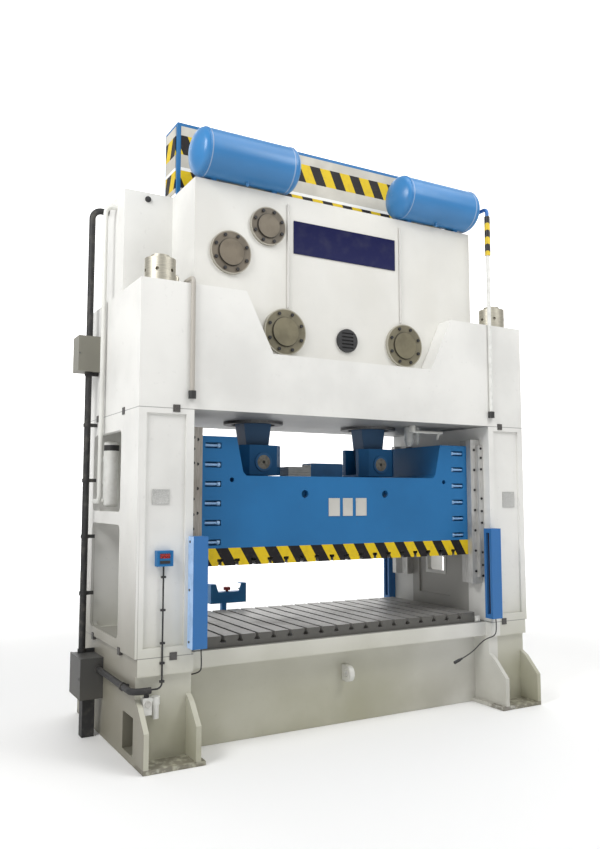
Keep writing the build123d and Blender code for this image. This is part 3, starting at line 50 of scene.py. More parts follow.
# one wrapper for shader sockets: sums are written as sums
class Ink:
    def __init__(self, tree, socket=None):
        self.tree = tree
        self.socket = socket

    def make(self, kind, settings=None, sockets=None, out=0):
        node = self.tree.nodes.new(kind)
        for key, value in (settings or {}).items():
            setattr(node, key, value)
        for key, value in (sockets or {}).items():
            if isinstance(value, Ink):
                self.tree.links.new(value.socket, node.inputs[key])
            else:
                node.inputs[key].default_value = value
        return Ink(self.tree, node.outputs[out])

    def maths(self, operation, first, second=0.0):
        return self.make("ShaderNodeMath", {"operation": operation}, {0: first, 1: second})

    def __add__(self, other):
        return self.maths("ADD", self, other)

    __radd__ = __add__

    def __sub__(self, other):
        return self.maths("SUBTRACT", self, other)

    def __rsub__(self, other):
        return self.maths("SUBTRACT", other, self)

    def __mul__(self, other):
        return self.maths("MULTIPLY", self, other)

    __rmul__ = __mul__

    def __truediv__(self, other):
        return self.maths("DIVIDE", self, other)

    def __gt__(self, other):
        return self.maths("GREATER_THAN", self, other)

    def __lt__(self, other):
        return self.maths("LESS_THAN", self, other)

    def between(self, low, high):
        return (self > low) * (self < high)

    def near(self, value, reach):
        return (self - value).size() < reach

    def size(self):
        return self.maths("ABSOLUTE", self)

    def wrap(self):
        return self.maths("FRACT", self)

    def smooth(self, low, high):
        return self.make("ShaderNodeMapRange", {"interpolation_type": "SMOOTHSTEP"},
                         {"Value": self, "From Min": low, "From Max": high})

    def root(self):
        return self.maths("SQRT", self)

    def wave(self):
        return self.maths("SINE", self)

    def mix(self, colour, other):
        return self.make("ShaderNodeMix", {"data_type": "RGBA"}, {0: self, 6: colour, 7: other}, 2)


# a blank finish: the shader, and the piece's own coordinates
class Finish:
    def __init__(self, name, roughness=0.5, metallic=0.0):
        self.material = bpy.data.materials.new(name)
        self.material.use_nodes = True
        self.tree = self.material.node_tree
        self.shader = self.tree.nodes["Principled BSDF"]
        self.shader.inputs["Roughness"].default_value = roughness
        self.shader.inputs["Metallic"].default_value = metallic
        self.ink = Ink(self.tree)
        self.place = self.ink.make("ShaderNodeTexCoord", {}, {}, "Object")
        parts = self.ink.make("ShaderNodeSeparateXYZ", {}, {0: self.place}).socket.node
        self.x, self.y, self.z = [Ink(self.tree, out) for out in parts.outputs]

    def noise(self, scale, detail=3.0, stretch=None):
        where = self.place
        if stretch:
            where = self.ink.make("ShaderNodeMapping", {}, {0: self.place, 3: stretch})
        return self.ink.make("ShaderNodeTexNoise", {}, {"Vector": where, "Scale": scale, "Detail": detail})

    # distance from an axis along Y; mirrored takes both sides of the press alike
    def away(self, across, up, mirrored=False):
        dx = (self.x.size() if mirrored else self.x) - across
        dz = self.z - up
        return (dx * dx + dz * dz).root()

    def gloss(self, level):
        self.shader.inputs["Specular IOR Level"].default_value = level

    def glow(self, strength):
        self.shader.inputs["Emission Strength"].default_value = strength

    def feed(self, name, value):
        self.tree.links.new(value.socket, self.shader.inputs[name])

    def bump(self, height, strength, distance):
        sockets = {"Height": height, "Strength": strength, "Distance": distance}
        self.feed("Normal", self.ink.make("ShaderNodeBump", {}, sockets))


def rgb(red, green, blue):
    return (red, green, blue, 1.0)


# the same colour darker or lighter
def tint(colour, share, lift=0.0):
    return rgb(*[channel * share + lift for channel in colour[:3]])


# colours that several finishes share
white = rgb(0.76, 0.755, 0.725)
blue = rgb(0.022, 0.150, 0.36)
soot = rgb(0.03, 0.03, 0.03)


# enamel over steel: soft mottling, scuffs and dust towards the floor; the frame's paint also has
# painted shade towards its lower walls and on its left side walls, lighter on its right part and lug,
# painted shade in the crown's recess and in its hollows, darker foot soles and dark seams, and the tanks
# have weld rings
enamelLook = {"broad": (1.3, 4), "fine": (22, 6), "grain": (260, 2), "drip": (2.2, 4, (1.0, 1.0, 0.35)),
              "dustTop": 0.55, "dust": rgb(0.23, 0.21, 0.16), "hollow": rgb(0.13, 0.12, 0.095),
              "stainAndShade": rgb(0.60, 0.585, 0.53), "seam": rgb(0.04, 0.04, 0.04), "seamHalf": 0.003,
              "ringHalf": 0.007, "faceGap": 0.003}


# painted shade on the frame paint: darker towards the floor with less on the right part and the bed's lug,
# darker on the left side walls, and a darker mottled band at the foot soles
def paintedShadeAndSoleTone(finish, tone, shadeAndSole, broad, fine):
    # painted shade: the walls darken towards the floor, mottled
    paintedShade = (1 - finish.z.smooth(*shadeAndSole["fade"])) * (0.8 + 0.4 * broad) * shadeAndSole["share"]
    # painted light: the frame's right part keeps most of its brightness
    litRight = finish.x.smooth(*shadeAndSole["litRightFrom"]) * (finish.x < shadeAndSole["litRightTo"]) * shadeAndSole["litRightShare"]
    # the bed's lug is spared most of the painted shade, so it reads lighter
    half, face, top = shadeAndSole["lug"]
    lug = (finish.x.size() < half) * (finish.y.size() > face) * (finish.z < top)
    tone = (paintedShade * (1 - litRight) * (1 - 0.8 * lug)).mix(tone, shadeAndSole["colour"])
    # painted shade on the left side walls, darker towards the floor
    grimeAndShade = (1 - finish.z.smooth(*shadeAndSole["sideFade"])) * shadeAndSole["sideShare"]
    for wall in shadeAndSole["sides"]:
        tone = (finish.x.near(wall, shadeAndSole["sideGap"]) * grimeAndShade).mix(tone, shadeAndSole["sideColour"])
    # a darker mottled band at the bottom of the feet's front and back ends
    high, deep = shadeAndSole["sole"]
    sole = (finish.z < high) * (finish.y.size() > deep) * fine.smooth(0.3, 0.55)
    return (sole * 0.7).mix(tone, shadeAndSole["soleColour"])


def makeEnamel(name, colour, roughness, dirt, gloss=0.5, seams=(), shadeAndSole=None, recess=None,
               hollows=(), rings=()):
    finish = Finish(name)
    finish.gloss(gloss)
    broad = finish.noise(*enamelLook["broad"])
    fine = finish.noise(*enamelLook["fine"])
    grain = finish.noise(*enamelLook["grain"])
    tone = broad.smooth(0.35, 0.7).mix(colour, tint(colour, 0.86))
    rub = fine.smooth(0.62, 0.8) * 0.35
    tone = rub.mix(tone, tint(colour, 0.7, 0.02))
    low = (1 - finish.z.smooth(0.0, enamelLook["dustTop"])) * broad.smooth(0.2, 0.75) * dirt
    tone = low.mix(tone, enamelLook["dust"])
    if shadeAndSole:
        tone = paintedShadeAndSoleTone(finish, tone, shadeAndSole, broad, fine)
    # painted shade on the crown's recessed front plane, mottled by the drip noise
    if recess:
        sunk = finish.y.size().near(recess["face"], enamelLook["faceGap"])
        sunk = sunk * (finish.z > recess["low"]) * (finish.x.size() < recess["half"])
        drip = finish.noise(*enamelLook["drip"]).smooth(0.3, 0.75)
        tone = (sunk * (0.35 + 0.3 * drip)).mix(tone, enamelLook["stainAndShade"])
    # painted shade inside the frame's hollows: the upright windows and the foot hollows
    for hollow in hollows:
        within = finish.x.size().between(*hollow["half"]) * (finish.y.size() < hollow["deep"])
        within = within * finish.z.between(*hollow["level"])
        tone = (within * hollow["share"]).mix(tone, enamelLook["hollow"])
    for spot in rings:
        band = 1 - ((finish.x.size() - spot).size() / enamelLook["ringHalf"]).smooth(0.5, 1.0)
        tone = (band * 0.6).mix(tone, tint(colour, 0.5, 0.42))
    for level in seams:
        tone = (finish.z.near(level, enamelLook["seamHalf"]) * 0.6).mix(tone, enamelLook["seam"])
    finish.feed("Base Color", tone)
    finish.feed("Roughness", roughness + 0.12 * broad + 0.25 * rub + 0.25 * low)
    finish.bump(grain * 0.5 + fine * 0.5, 0.12, 0.002)
    return finish.material


# milled or ground steel: streaks along one axis, oil stains
steelLook = {"streak": (6, 5), "patch": (3.2, 4), "oil": rgb(0.10, 0.08, 0.06)}


def makeSteel(name, colour, roughness, stretch, stainAndShade, metal=1.0):
    finish = Finish(name, metallic=metal)
    streak = finish.noise(*steelLook["streak"], stretch)
    patch = finish.noise(*steelLook["patch"])
    tone = (streak.smooth(0.3, 0.7) * 0.55).mix(colour, tint(colour, 0.55))
    tone = (patch.smooth(0.52, 0.72) * stainAndShade).mix(tone, steelLook["oil"])
    finish.feed("Base Color", tone)
    finish.feed("Roughness", roughness + 0.18 * streak + 0.2 * patch)
    finish.bump(streak, 0.1, 0.001)
    return finish.material


# bolster: milled top, dark edges
bolsterLook = {"stretch": (3.0, 45.0, 3.0), "half": 1.3845, "deep": 0.6495, "milled": rgb(0.40, 0.39, 0.375),
               "streak": rgb(0.25, 0.245, 0.235), "oil": rgb(0.12, 0.11, 0.09),
               "edge": rgb(0.105, 0.102, 0.092)}


def makeBolster():
    finish = Finish("bolster steel")
    streak = finish.noise(*steelLook["streak"], bolsterLook["stretch"])
    patch = finish.noise(*steelLook["patch"])
    rim = (finish.y.size() > bolsterLook["deep"]) + (finish.x.size() > bolsterLook["half"])
    tone = (streak.smooth(0.3, 0.7) * 0.5).mix(bolsterLook["milled"], bolsterLook["streak"])
    tone = (patch.smooth(0.48, 0.72) * 0.5).mix(tone, bolsterLook["oil"])
    finish.feed("Base Color", rim.mix(tone, bolsterLook["edge"]))
    finish.feed("Metallic", 0.6 - 0.4 * rim)
    finish.feed("Roughness", 0.30 + 0.18 * streak + 0.2 * patch)
    finish.bump(streak, 0.1, 0.001)
    return finish.material


# turned covers: fine rings about a centre, a groove round the inner disc, a painted highlight round the brink
turnedLook = {"ringRate": 900, "inner": (0.60, 0.66), "groove": 0.63, "grooveHalf": 0.006,
              "grooveColour": rgb(0.02, 0.02, 0.018), "brinkHighlight": (0.94, 0.97),
              "brinkHighlightColour": rgb(0.52, 0.50, 0.43)}


def makeTurned(name, colour, disc, mirrored=False):
    across, level, radius = disc
    finish = Finish(name)
    reach = finish.away(across, level, mirrored)
    mottle = finish.noise(9, 5)
    rim = reach.smooth(*[radius * share for share in turnedLook["inner"]])
    off = (reach - radius * turnedLook["groove"]).size() / turnedLook["grooveHalf"]
    groove = 1 - off.smooth(0.4, 1.0)
    # painted highlight: a bright band round the cover's brink
    brinkHighlight = reach.smooth(*[radius * share for share in turnedLook["brinkHighlight"]])
    tone = (mottle.smooth(0.35, 0.7) * 0.6).mix(colour, tint(colour, 0.62))
    tone = (rim * 0.2).mix(tone, tint(colour, 0.45))
    tone = (groove * 0.6).mix(tone, turnedLook["grooveColour"])
    tone = (brinkHighlight * 0.6).mix(tone, turnedLook["brinkHighlightColour"])
    finish.feed("Base Color", tone)
    finish.feed("Metallic", 0.55 - 0.25 * rim)
    finish.feed("Roughness", 0.44 + 0.2 * mottle)
    finish.bump((reach * turnedLook["ringRate"]).wave() * 0.5 + mottle * 0.4, 0.1, 0.001)
    return finish.material


# slanted yellow and black bars, smeared in places
barLook = {"yellow": rgb(0.66, 0.47, 0.012), "oldYellow": rgb(0.46, 0.32, 0.03),
           "black": rgb(0.012, 0.010, 0.011), "oldBlack": rgb(0.045, 0.038, 0.032)}


def hazardBars(finish, along, up, pitch):
    bars = ((along + up) / pitch).wrap() > 0.5
    smear = finish.noise(30, 5)
    yellow = (smear.smooth(0.45, 0.75) * 0.4).mix(barLook["yellow"], barLook["oldYellow"])
    black = (smear.smooth(0.5, 0.8) * 0.5).mix(barLook["black"], barLook["oldBlack"])
    return bars.mix(yellow, black)


# slide plate: milled steel, bars on its front and back
slideBars = {"face": 0.5795, "shift": 0.0465, "base": 1.388, "slant": 0.60, "pitch": 0.2188,
             "stretch": (2.0, 50.0, 2.0), "milled": rgb(0.42, 0.41, 0.40), "streak": rgb(0.22, 0.21, 0.2)}


def makeSlidePlate():
    finish = Finish("slide plate steel and stripes")
    finish.gloss(0.2)
    streak = finish.noise(*steelLook["streak"], slideBars["stretch"])
    steel = (streak.smooth(0.3, 0.7) * 0.6).mix(slideBars["milled"], slideBars["streak"])
    painted = finish.y.size() > slideBars["face"]
    up = (finish.z - slideBars["base"]) * slideBars["slant"]
    stripes = hazardBars(finish, finish.x - slideBars["shift"], up, slideBars["pitch"])
    finish.feed("Base Color", painted.mix(steel, stripes))
    finish.feed("Roughness", 0.35 + 0.2 * streak + painted * 0.1)
    finish.feed("Metallic", 1 - painted)
    finish.bump(streak, 0.08, 0.001)
    return finish.material


# guard sheets: grey, two bands of bars, a white edge over the lower one
guardBars = {"middle": (4.900, 5.072), "toe": (4.600, 4.757), "edge": (4.757, 4.785),
             "shift": 0.014, "slant": 0.44, "pitch": 0.224, "grey": rgb(0.56, 0.54, 0.48),
             "patch": rgb(0.46, 0.44, 0.39), "white": rgb(0.80, 0.80, 0.78)}


def makeGuardSheet():
    finish = Finish("guard sheet with stripes")
    finish.gloss(0.2)
    mottle = finish.noise(4, 5)
    grey = mottle.smooth(0.3, 0.7).mix(guardBars["grey"], guardBars["patch"])
    along = finish.x + finish.y - guardBars["shift"]
    stripes = hazardBars(finish, along, finish.z * guardBars["slant"], guardBars["pitch"])
    tone = finish.z.between(*guardBars["edge"]).mix(grey, guardBars["white"])
    bands = finish.z.between(*guardBars["middle"]) + finish.z.between(*guardBars["toe"])
    finish.feed("Base Color", bands.mix(tone, stripes))
    finish.feed("Roughness", 0.42 + 0.2 * mottle)
    finish.bump(mottle, 0.1, 0.002)
    return finish.material


# crown pipes: thin lines in the middle, corner pipes outside, bars and blue on the right one's top
pipeZones = {"inner": 0.8, "fitting": 2.752, "sleeve": (4.288, 4.682), "pitch": 0.14,
             "white": rgb(0.72, 0.72, 0.69), "patch": rgb(0.5, 0.5, 0.47), "line": rgb(0.58, 0.57, 0.54),
             "left": rgb(0.40, 0.375, 0.335), "top": rgb(0.035, 0.15, 0.43)}


def makeCrownPipe():
    finish = Finish("crown pipes")
    mottle = finish.noise(15, 4)
    side = finish.x.size()
    tone = (mottle.smooth(0.4, 0.7) * 0.5).mix(pipeZones["white"], pipeZones["patch"])
    tone = (side < pipeZones["inner"]).mix(tone, pipeZones["line"])
    tone = (finish.x < -pipeZones["inner"]).mix(tone, pipeZones["left"])
    tone = ((finish.z < pipeZones["fitting"]) * (side > pipeZones["inner"])).mix(tone, soot)
    sleeve = finish.z.between(*pipeZones["sleeve"]) * (finish.x > pipeZones["inner"])
    along = finish.x * 0.5 + finish.y * 0.5
    tone = sleeve.mix(tone, hazardBars(finish, along, finish.z, pipeZones["pitch"]))
    tone = (finish.z > pipeZones["sleeve"][1]).mix(tone, pipeZones["top"])
    finish.feed("Base Color", tone)
    finish.feed("Roughness", 0.36 + 0.2 * mottle)
    finish.bump(mottle, 0.08, 0.001)
    return finish.material


# wrist pins: oily cap, painted round its rim
wristCap = {"across": 0.63, "level": 2.243, "bare": 0.062, "dimple": 0.014, "brown": rgb(0.30, 0.285, 0.235),
            "oil": rgb(0.14, 0.12, 0.10), "hole": rgb(0.05, 0.045, 0.04)}


def makeWristPin():
    finish = Finish("wrist pin steel")
    reach = finish.away(wristCap["across"], wristCap["level"], mirrored=True)
    mottle = finish.noise(40, 5)
    brown = (mottle.smooth(0.35, 0.7) * 0.6).mix(wristCap["brown"], wristCap["oil"])
    brown = (reach < wristCap["dimple"]).mix(brown, wristCap["hole"])
    painted = reach > wristCap["bare"]
    finish.feed("Base Color", painted.mix(brown, blue))
    finish.feed("Metallic", 0.5 - painted * 0.5)
    finish.feed("Roughness", 0.4 + 0.2 * mottle)
    finish.bump(mottle, 0.1, 0.001)
    return finish.material


# light curtains: blue housing, outer side paler with painted light
curtainLook = {"side": 1.5385, "front": rgb(0.036, 0.155, 0.400), "outer": rgb(0.420, 0.600, 0.880),
               "patch": rgb(0.045, 0.16, 0.36)}


def makeCurtain():
    finish = Finish("light curtain paint")
    finish.gloss(0.3)
    mottle = finish.noise(12, 4)
    # painted light: the outer side is a lit, paler copy of the blue
    outer = finish.x.size() > curtainLook["side"]
    tone = outer.mix(curtainLook["front"], curtainLook["outer"])
    tone = (mottle.smooth(0.4, 0.75) * 0.3).mix(tone, curtainLook["patch"])
    finish.feed("Base Color", tone)
    finish.feed("Roughness", 0.36 + 0.15 * mottle)
    finish.bump(mottle, 0.06, 0.001)
    return finish.material


# white vessel with a dark clamp round its top
vesselLook = {"clamp": (2.335, 2.385), "white": rgb(0.74, 0.74, 0.71), "patch": rgb(0.56, 0.55, 0.51)}


def makeVessel():
    finish = Finish("balance vessel paint")
    mottle = finish.noise(18, 4)
    tone = (mottle.smooth(0.4, 0.7) * 0.4).mix(vesselLook["white"], vesselLook["patch"])
    finish.feed("Base Color", finish.z.between(*vesselLook["clamp"]).mix(tone, soot))
    finish.feed("Roughness", 0.36 + 0.2 * mottle)
    finish.bump(mottle, 0.08, 0.001)
    return finish.material


# geared motor: pale ribbed motor at its left end, blue gearbox at its right
gearMotorLook = {"split": -0.1300, "ribRate": 300, "pale": rgb(0.60, 0.60, 0.57),
                 "patch": rgb(0.44, 0.44, 0.41)}


def makeGearMotor():
    finish = Finish("geared motor paint")
    mottle = finish.noise(18, 4)
    motor = finish.x < gearMotorLook["split"]
    blueTone = (mottle.smooth(0.4, 0.7) * 0.4).mix(blue, tint(blue, 0.7))
    paleTone = (mottle.smooth(0.4, 0.7) * 0.5).mix(gearMotorLook["pale"], gearMotorLook["patch"])
    finish.feed("Base Color", motor.mix(blueTone, paleTone))
    finish.feed("Roughness", 0.36 + 0.2 * mottle)
    finish.bump((finish.z * gearMotorLook["ribRate"]).wave() * motor, 0.3, 0.004)
    return finish.material


# ribbed black hose or cable: rings along its run
hoseLook = {"black": rgb(0.022, 0.022, 0.023), "grimeAndShade": rgb(0.075, 0.07, 0.062)}


def makeHose(name, pitch):
    finish = Finish(name)
    grimeAndShade = finish.noise(14, 5)
    turns = 2 * math.pi / pitch
    rings = (finish.z * turns).wave() * (finish.y * turns + math.pi / 2).wave()
    finish.feed("Base Color", grimeAndShade.smooth(0.45, 0.8).mix(hoseLook["black"], hoseLook["grimeAndShade"]))
    finish.feed("Roughness", 0.5 + 0.25 * grimeAndShade)
    finish.bump(rings, 0.25, 0.002)
    return finish.material


# plastic, rubber and flat lacquer, a little dusty
def makePlastic(name, colour, roughness=0.35, gloss=0.5):
    finish = Finish(name)
    finish.gloss(gloss)
    speck = finish.noise(70, 4)
    dust = finish.noise(8, 5)
    finish.feed("Base Color", (dust.smooth(0.4, 0.75) * 0.5).mix(colour, tint(colour, 0.75, 0.03)))
    finish.feed("Roughness", roughness + 0.2 * dust)
    finish.bump(speck, 0.08, 0.0006)
    return finish.material


# lit figures behind a dark window
glowLook = {"dark": rgb(0.03, 0.004, 0.004), "lit": rgb(0.55, 0.02, 0.02), "strength": 0.6}


def makeGlow(name):
    finish = Finish(name, roughness=0.2)
    cells = finish.noise(180, 2)
    tone = cells.smooth(0.5, 0.62).mix(glowLook["dark"], glowLook["lit"])
    finish.feed("Base Color", tone)
    finish.feed("Emission Color", tone)
    finish.glow(glowLook["strength"])
    return finish.material


# finishes by name
seamLevels = (0.762, 2.610)
# painted shade for the frame: its colour and reach up the walls, the lighter right part and lug, the left
# side walls, and the foot soles
frameShadeAndSole = {"fade": (0.25, 1.35), "share": 0.64, "colour": rgb(0.34, 0.33, 0.205),
             "litRightFrom": (0.1, 1.4), "litRightTo": 1.6, "litRightShare": 0.7,
             "sides": (-1.946, -1.925), "sideGap": 0.002, "sideFade": (0.5, 2.2), "sideShare": 0.75,
             "sideColour": rgb(0.19, 0.172, 0.135), "lug": (0.024, 0.526, 0.51),
             "sole": (0.034, 0.73), "soleColour": rgb(0.12, 0.105, 0.08)}
# painted shade inside the upright windows and the foot hollows
frameHollows = ({"half": (1.49, 1.943), "deep": 0.440, "level": (0.80, 1.76), "share": 0.55},
                {"half": (1.49, 1.923), "deep": 0.640, "level": (0.03, 0.70), "share": 0.80})
# where the painted shade in the crown's recess lies
crownRecess = {"low": 3.0, "half": 1.457, "face": 0.594}
finishes = {
    "framePaint": makeEnamel("frame paint", white, 0.40, 0.5, 0.5, seamLevels, frameShadeAndSole, crownRecess,
                             frameHollows),
    "tankPaint": makeEnamel("tank paint", rgb(0.038, 0.200, 0.46), 0.24, 0.0, rings=(0.630, 1.385)),
    "trimPaint": makeEnamel("trim paint", rgb(0.72, 0.72, 0.68), 0.38, 0.2),
    "bluePaint": makeEnamel("blue paint", blue, 0.36, 0.3, gloss=0.2),
    "curtainPaint": makeCurtain(),
    # painted light: the console's blue is a lit, brighter copy of the blue paint
    "consoleLitPaint": makeEnamel("console paint with painted light", rgb(0.040, 0.250, 0.580), 0.36, 0.0, gloss=0.3),
    # the push screws' pale blue is their blue paint with a painted highlight in it
    "screwPaintAndHighlight": makeEnamel("push screw paint and highlight", rgb(0.26, 0.46, 0.72), 0.26, 0.0),
    "deepBlue": makeEnamel("con-rod paint", rgb(0.060, 0.130, 0.240), 0.38, 0.2, gloss=0.2),
    "greyPaint": makeEnamel("grey paint", rgb(0.225, 0.218, 0.180), 0.45, 0.3),
    "darkBox": makeEnamel("dark box paint", rgb(0.075, 0.074, 0.07), 0.45, 0.3),
    "guardSheet": makeGuardSheet(),
    "slidePlate": makeSlidePlate(),
    "crownPipes": makeCrownPipe(),
    "vesselPaint": makeVessel(),
    "gearMotor": makeGearMotor(),
    "bolsterSteel": makeBolster(),
    "gibSteel": makeSteel("gib steel", rgb(0.60, 0.595, 0.575), 0.34, (40.0, 40.0, 2.0), 0.45, 0.55),
    "oldGibSteel": makeSteel("oily gib steel", rgb(0.37, 0.345, 0.31), 0.34, (40.0, 40.0, 2.0), 0.45, 0.55),
    "nutSteel": makeSteel("nut steel", rgb(0.60, 0.57, 0.48), 0.30, (3.0, 3.0, 40.0), 0.2),
    "keySteel": makeSteel("key steel", rgb(0.16, 0.155, 0.15), 0.4, (20.0, 20.0, 20.0), 0.5),
    "blackSteel": makeSteel("black steel", rgb(0.03, 0.03, 0.032), 0.4, (10.0, 10.0, 10.0), 0.2, 0.3),
    "darkSteel": makeSteel("dark steel", rgb(0.20, 0.20, 0.20), 0.4, (10.0, 10.0, 10.0), 0.4),
    "gearSteel": makeSteel("gear steel", rgb(0.34, 0.33, 0.31), 0.35, (8.0, 60.0, 8.0), 0.5),
    "wristPin": makeWristPin(),
    "eccentricCover": makeTurned("eccentric cover steel", rgb(0.205, 0.184, 0.122), (0.63, 3.335, 0.200),
                                 mirrored=True),
    "midCover": makeTurned("intermediate cover steel", rgb(0.185, 0.157, 0.118), (-1.14, 3.9514, 0.182)),
    "driveCover": makeTurned("drive cover steel", rgb(0.165, 0.142, 0.108), (-0.7959, 4.2320, 0.166)),
    "hose": makeHose("ribbed hose", 0.012),
    "cable": makeHose("cable sheath", 0.004),
    "blackPlastic": makePlastic("black plastic", rgb(0.02, 0.02, 0.021)),
    "redPlastic": makePlastic("red plastic", rgb(0.42, 0.03, 0.025), 0.25),
    "greenPlastic": makePlastic("green plastic", rgb(0.03, 0.20, 0.06), 0.25),
    "bowl": makePlastic("filter bowl", rgb(0.55, 0.56, 0.54), 0.2),
    "belt": makePlastic("belt rubber", soot, 0.6),
    "signBlue": makePlastic("sign plate blue", rgb(0.010, 0.012, 0.062), 0.5, 0.1),
    "paleTag": makePlastic("pale tag", rgb(0.52, 0.51, 0.475), 0.45, 0.3),
    "tagPlate": makeSteel("tag plate", rgb(0.56, 0.56, 0.54), 0.4, (30.0, 3.0, 30.0), 0.2, 0.3),
    "glow": makeGlow("display window"),
    "lens": makePlastic("lens strip", rgb(0.03, 0.025, 0.03), 0.12),
}
nodeFinish = {
    "framePaint": "bed upright_left upright_right crown",
    "trimPaint": "balance_pipe belt_guard air_service_unit",
    "vesselPaint": "balance_vessel",
    "tankPaint": "air_tank_left air_tank_right tank_saddles",
    "bluePaint": "slide guard_frame drive_motor display_box pitman_screws",
    "consoleLitPaint": "console",
    "gearMotor": "adjuster_drive",
    "curtainPaint": "light_curtain_left light_curtain_right rear_light_curtains",
    "deepBlue": "con_rod_left con_rod_right",
    "greyPaint": "upper_junction_box upper_box_door",
    "darkBox": "lower_junction_box lower_box_door",
    "guardSheet": "guard_panels",
    "slidePlate": "slide_plate",
    "crownPipes": "crown_pipes",
    "bolsterSteel": "bolster",
    "gibSteel": "gibs_right",
    "oldGibSteel": "gibs_left",
    "nutSteel": "tie_rods tie_rod_nuts",
    "keySteel": "seam_keys",
    "darkSteel": "neck_rings eccentric_pins",
    "blackSteel": "cover_bolts",
    "screwPaintAndHighlight": "gib_screws",
    "gearSteel": "eccentric_gear_left eccentric_gear_right intermediate_shaft drive_shaft flywheel"
                 " motor_pulley",
    "wristPin": "wrist_pins",
    "eccentricCover": "eccentric_covers",
    "midCover": "intermediate_shaft_cover",
    "driveCover": "drive_shaft_cover",
    "hose": "conduits",
    "cable": "display_cable left_cable right_lead",
    "blackPlastic": "breather_grille lead_connector",
    "redPlastic": "stop_button",
    "greenPlastic": "start_button_left start_button_right",
    "belt": "drive_belts",
}


def paint(piece, finishName):
    piece.data.materials.clear()
    piece.data.materials.append(finishes[finishName])


for finishName, names in nodeFinish.items():
    for name in names.split():
        paint(nodes[name], finishName)
print("finishes made:", len(finishes))


# hand work on meshes
axisTurns = {"X": (0, math.radians(90), 0), "Y": (math.radians(90), 0, 0), "Z": (0, 0, 0)}
edgeLook = {"segments": 2, "smooth": math.radians(35)}
facing = 0.9


def clearPick():
    bpy.ops.object.select_all(action="DESELECT")


def addBox(centre, size):
    clearPick()
    bpy.ops.mesh.primitive_cube_add(size=1, location=centre)
    piece = bpy.context.object
    piece.scale = size
    bpy.ops.object.transform_apply(location=False, rotation=False, scale=True)
    return piece


def addBar(spec, sides):
    clearPick()
    bpy.ops.mesh.primitive_cylinder_add(vertices=sides, radius=spec["radius"], depth=spec["deep"],
                                        location=spec["centre"], rotation=axisTurns[spec["axis"]])
    bpy.ops.object.transform_apply(location=False, rotation=True, scale=False)
    return bpy.context.object


def pickFaces(piece, test):
    bpy.ops.object.mode_set(mode="EDIT")
    bpy.ops.mesh.select_mode(type="FACE")
    bpy.ops.mesh.select_all(action="DESELECT")
    bpy.ops.object.mode_set(mode="OBJECT")
    for face in piece.data.polygons:
        face.select = test(face)
    bpy.ops.object.mode_set(mode="EDIT")


def leaveEdit():
    bpy.ops.object.mode_set(mode="OBJECT")


# the picked faces get a rim, and the field inside it moves along one axis
def insetPush(rim, side, step):
    push = [0, 0, 0]
    push[side] = step
    bpy.ops.mesh.inset(thickness=rim)
    bpy.ops.mesh.extrude_region_move(TRANSFORM_OT_translate={"value": push})
    leaveEdit()


def settle(piece, name, spec):
    bpy.ops.object.transform_apply(location=True, rotation=True, scale=True)
    if "edge" in spec:
        edge = piece.modifiers.new("edges", "BEVEL")
        edge.width = spec["edge"]
        edge.segments = edgeLook["segments"]
        edge.limit_method = "ANGLE"
        bpy.ops.object.modifier_apply(modifier=edge.name)
    bpy.ops.object.shade_smooth_by_angle(angle=edgeLook["smooth"])
    piece.name = name
    piece.data.name = name
    paint(piece, spec["finish"])
    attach(piece, spec["body"])
    return piece


# a twin with its own mesh, moved, turned or mirrored by a matrix
def copyTo(piece, name, spec, change):
    twin = piece.copy()
    twin.data = piece.data.copy()
    bpy.context.collection.objects.link(twin)
    twin.data.transform(change)
    if change.determinant() < 0:
        twin.data.flip_normals()
    twin.name = name
    twin.data.name = name
    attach(twin, spec["body"])


# twins in the three other corners of the press
def copyToCorners(piece, stem, spec):
    for index, mirror in enumerate(((-1, 1), (1, -1), (-1, -1))):
        copyTo(piece, "%s_%d" % (stem, index + 2), spec, Matrix.Diagonal((*mirror, 1.0, 1.0)))


# flat plate that looks along -Y or -X, with a rim round a sunk or raised field
def makePlate(name, spec, side=1):
    piece = addBox(spec["centre"], spec["size"])
    pickFaces(piece, lambda face: face.normal[side] < -facing)
    insetPush(spec["rim"], side, spec["sunk"])
    return settle(piece, name, spec)


# hexagon bolt head along one axis
boltLook = {"sides": 6, "inset": 0.25, "edge": 0.12}


def makeBolt(name, spec):
    piece = addBar(spec, boltLook["sides"])
    side = "XYZ".index(spec["axis"])
    pickFaces(piece, lambda face: abs(face.normal[side]) > facing)
    bpy.ops.mesh.inset(thickness=spec["radius"] * boltLook["inset"])
    leaveEdit()
    return settle(piece, name, {**spec, "edge": spec["radius"] * boltLook["edge"]})


# bolts at every spot, in all four corners of the press
def setBolts(stem, spec, spots):
    start = Vector(spots[0])
    first = makeBolt(stem + "_1", {**spec, "centre": spots[0]})
    count = 1
    for signX in (1, -1):
        for signY in (1, -1):
            for spot in spots:
                move = Vector((spot[0] * signX, spot[1] * signY, spot[2])) - start
                if move.length < 0.001:
                    continue
                count += 1
                copyTo(first, "%s_%d" % (stem, count), spec, Matrix.Translation(move))
    return count


# stepped disc or knob: a drum with sunk or raised fields along one axis
def makeDrum(name, spec):
    piece = addBar(spec, spec.get("sides", 28))
    side = "XYZ".index(spec["axis"])
    for rim, step in spec["steps"]:
        pickFaces(piece, lambda face: len(face.vertices) > 4 and face.normal[side] * spec["look"] > facing
                  and face.center[side] * spec["look"] > spec["deep"] * 0.2)
        insetPush(rim, side, step * spec["look"])
    return settle(piece, name, spec)


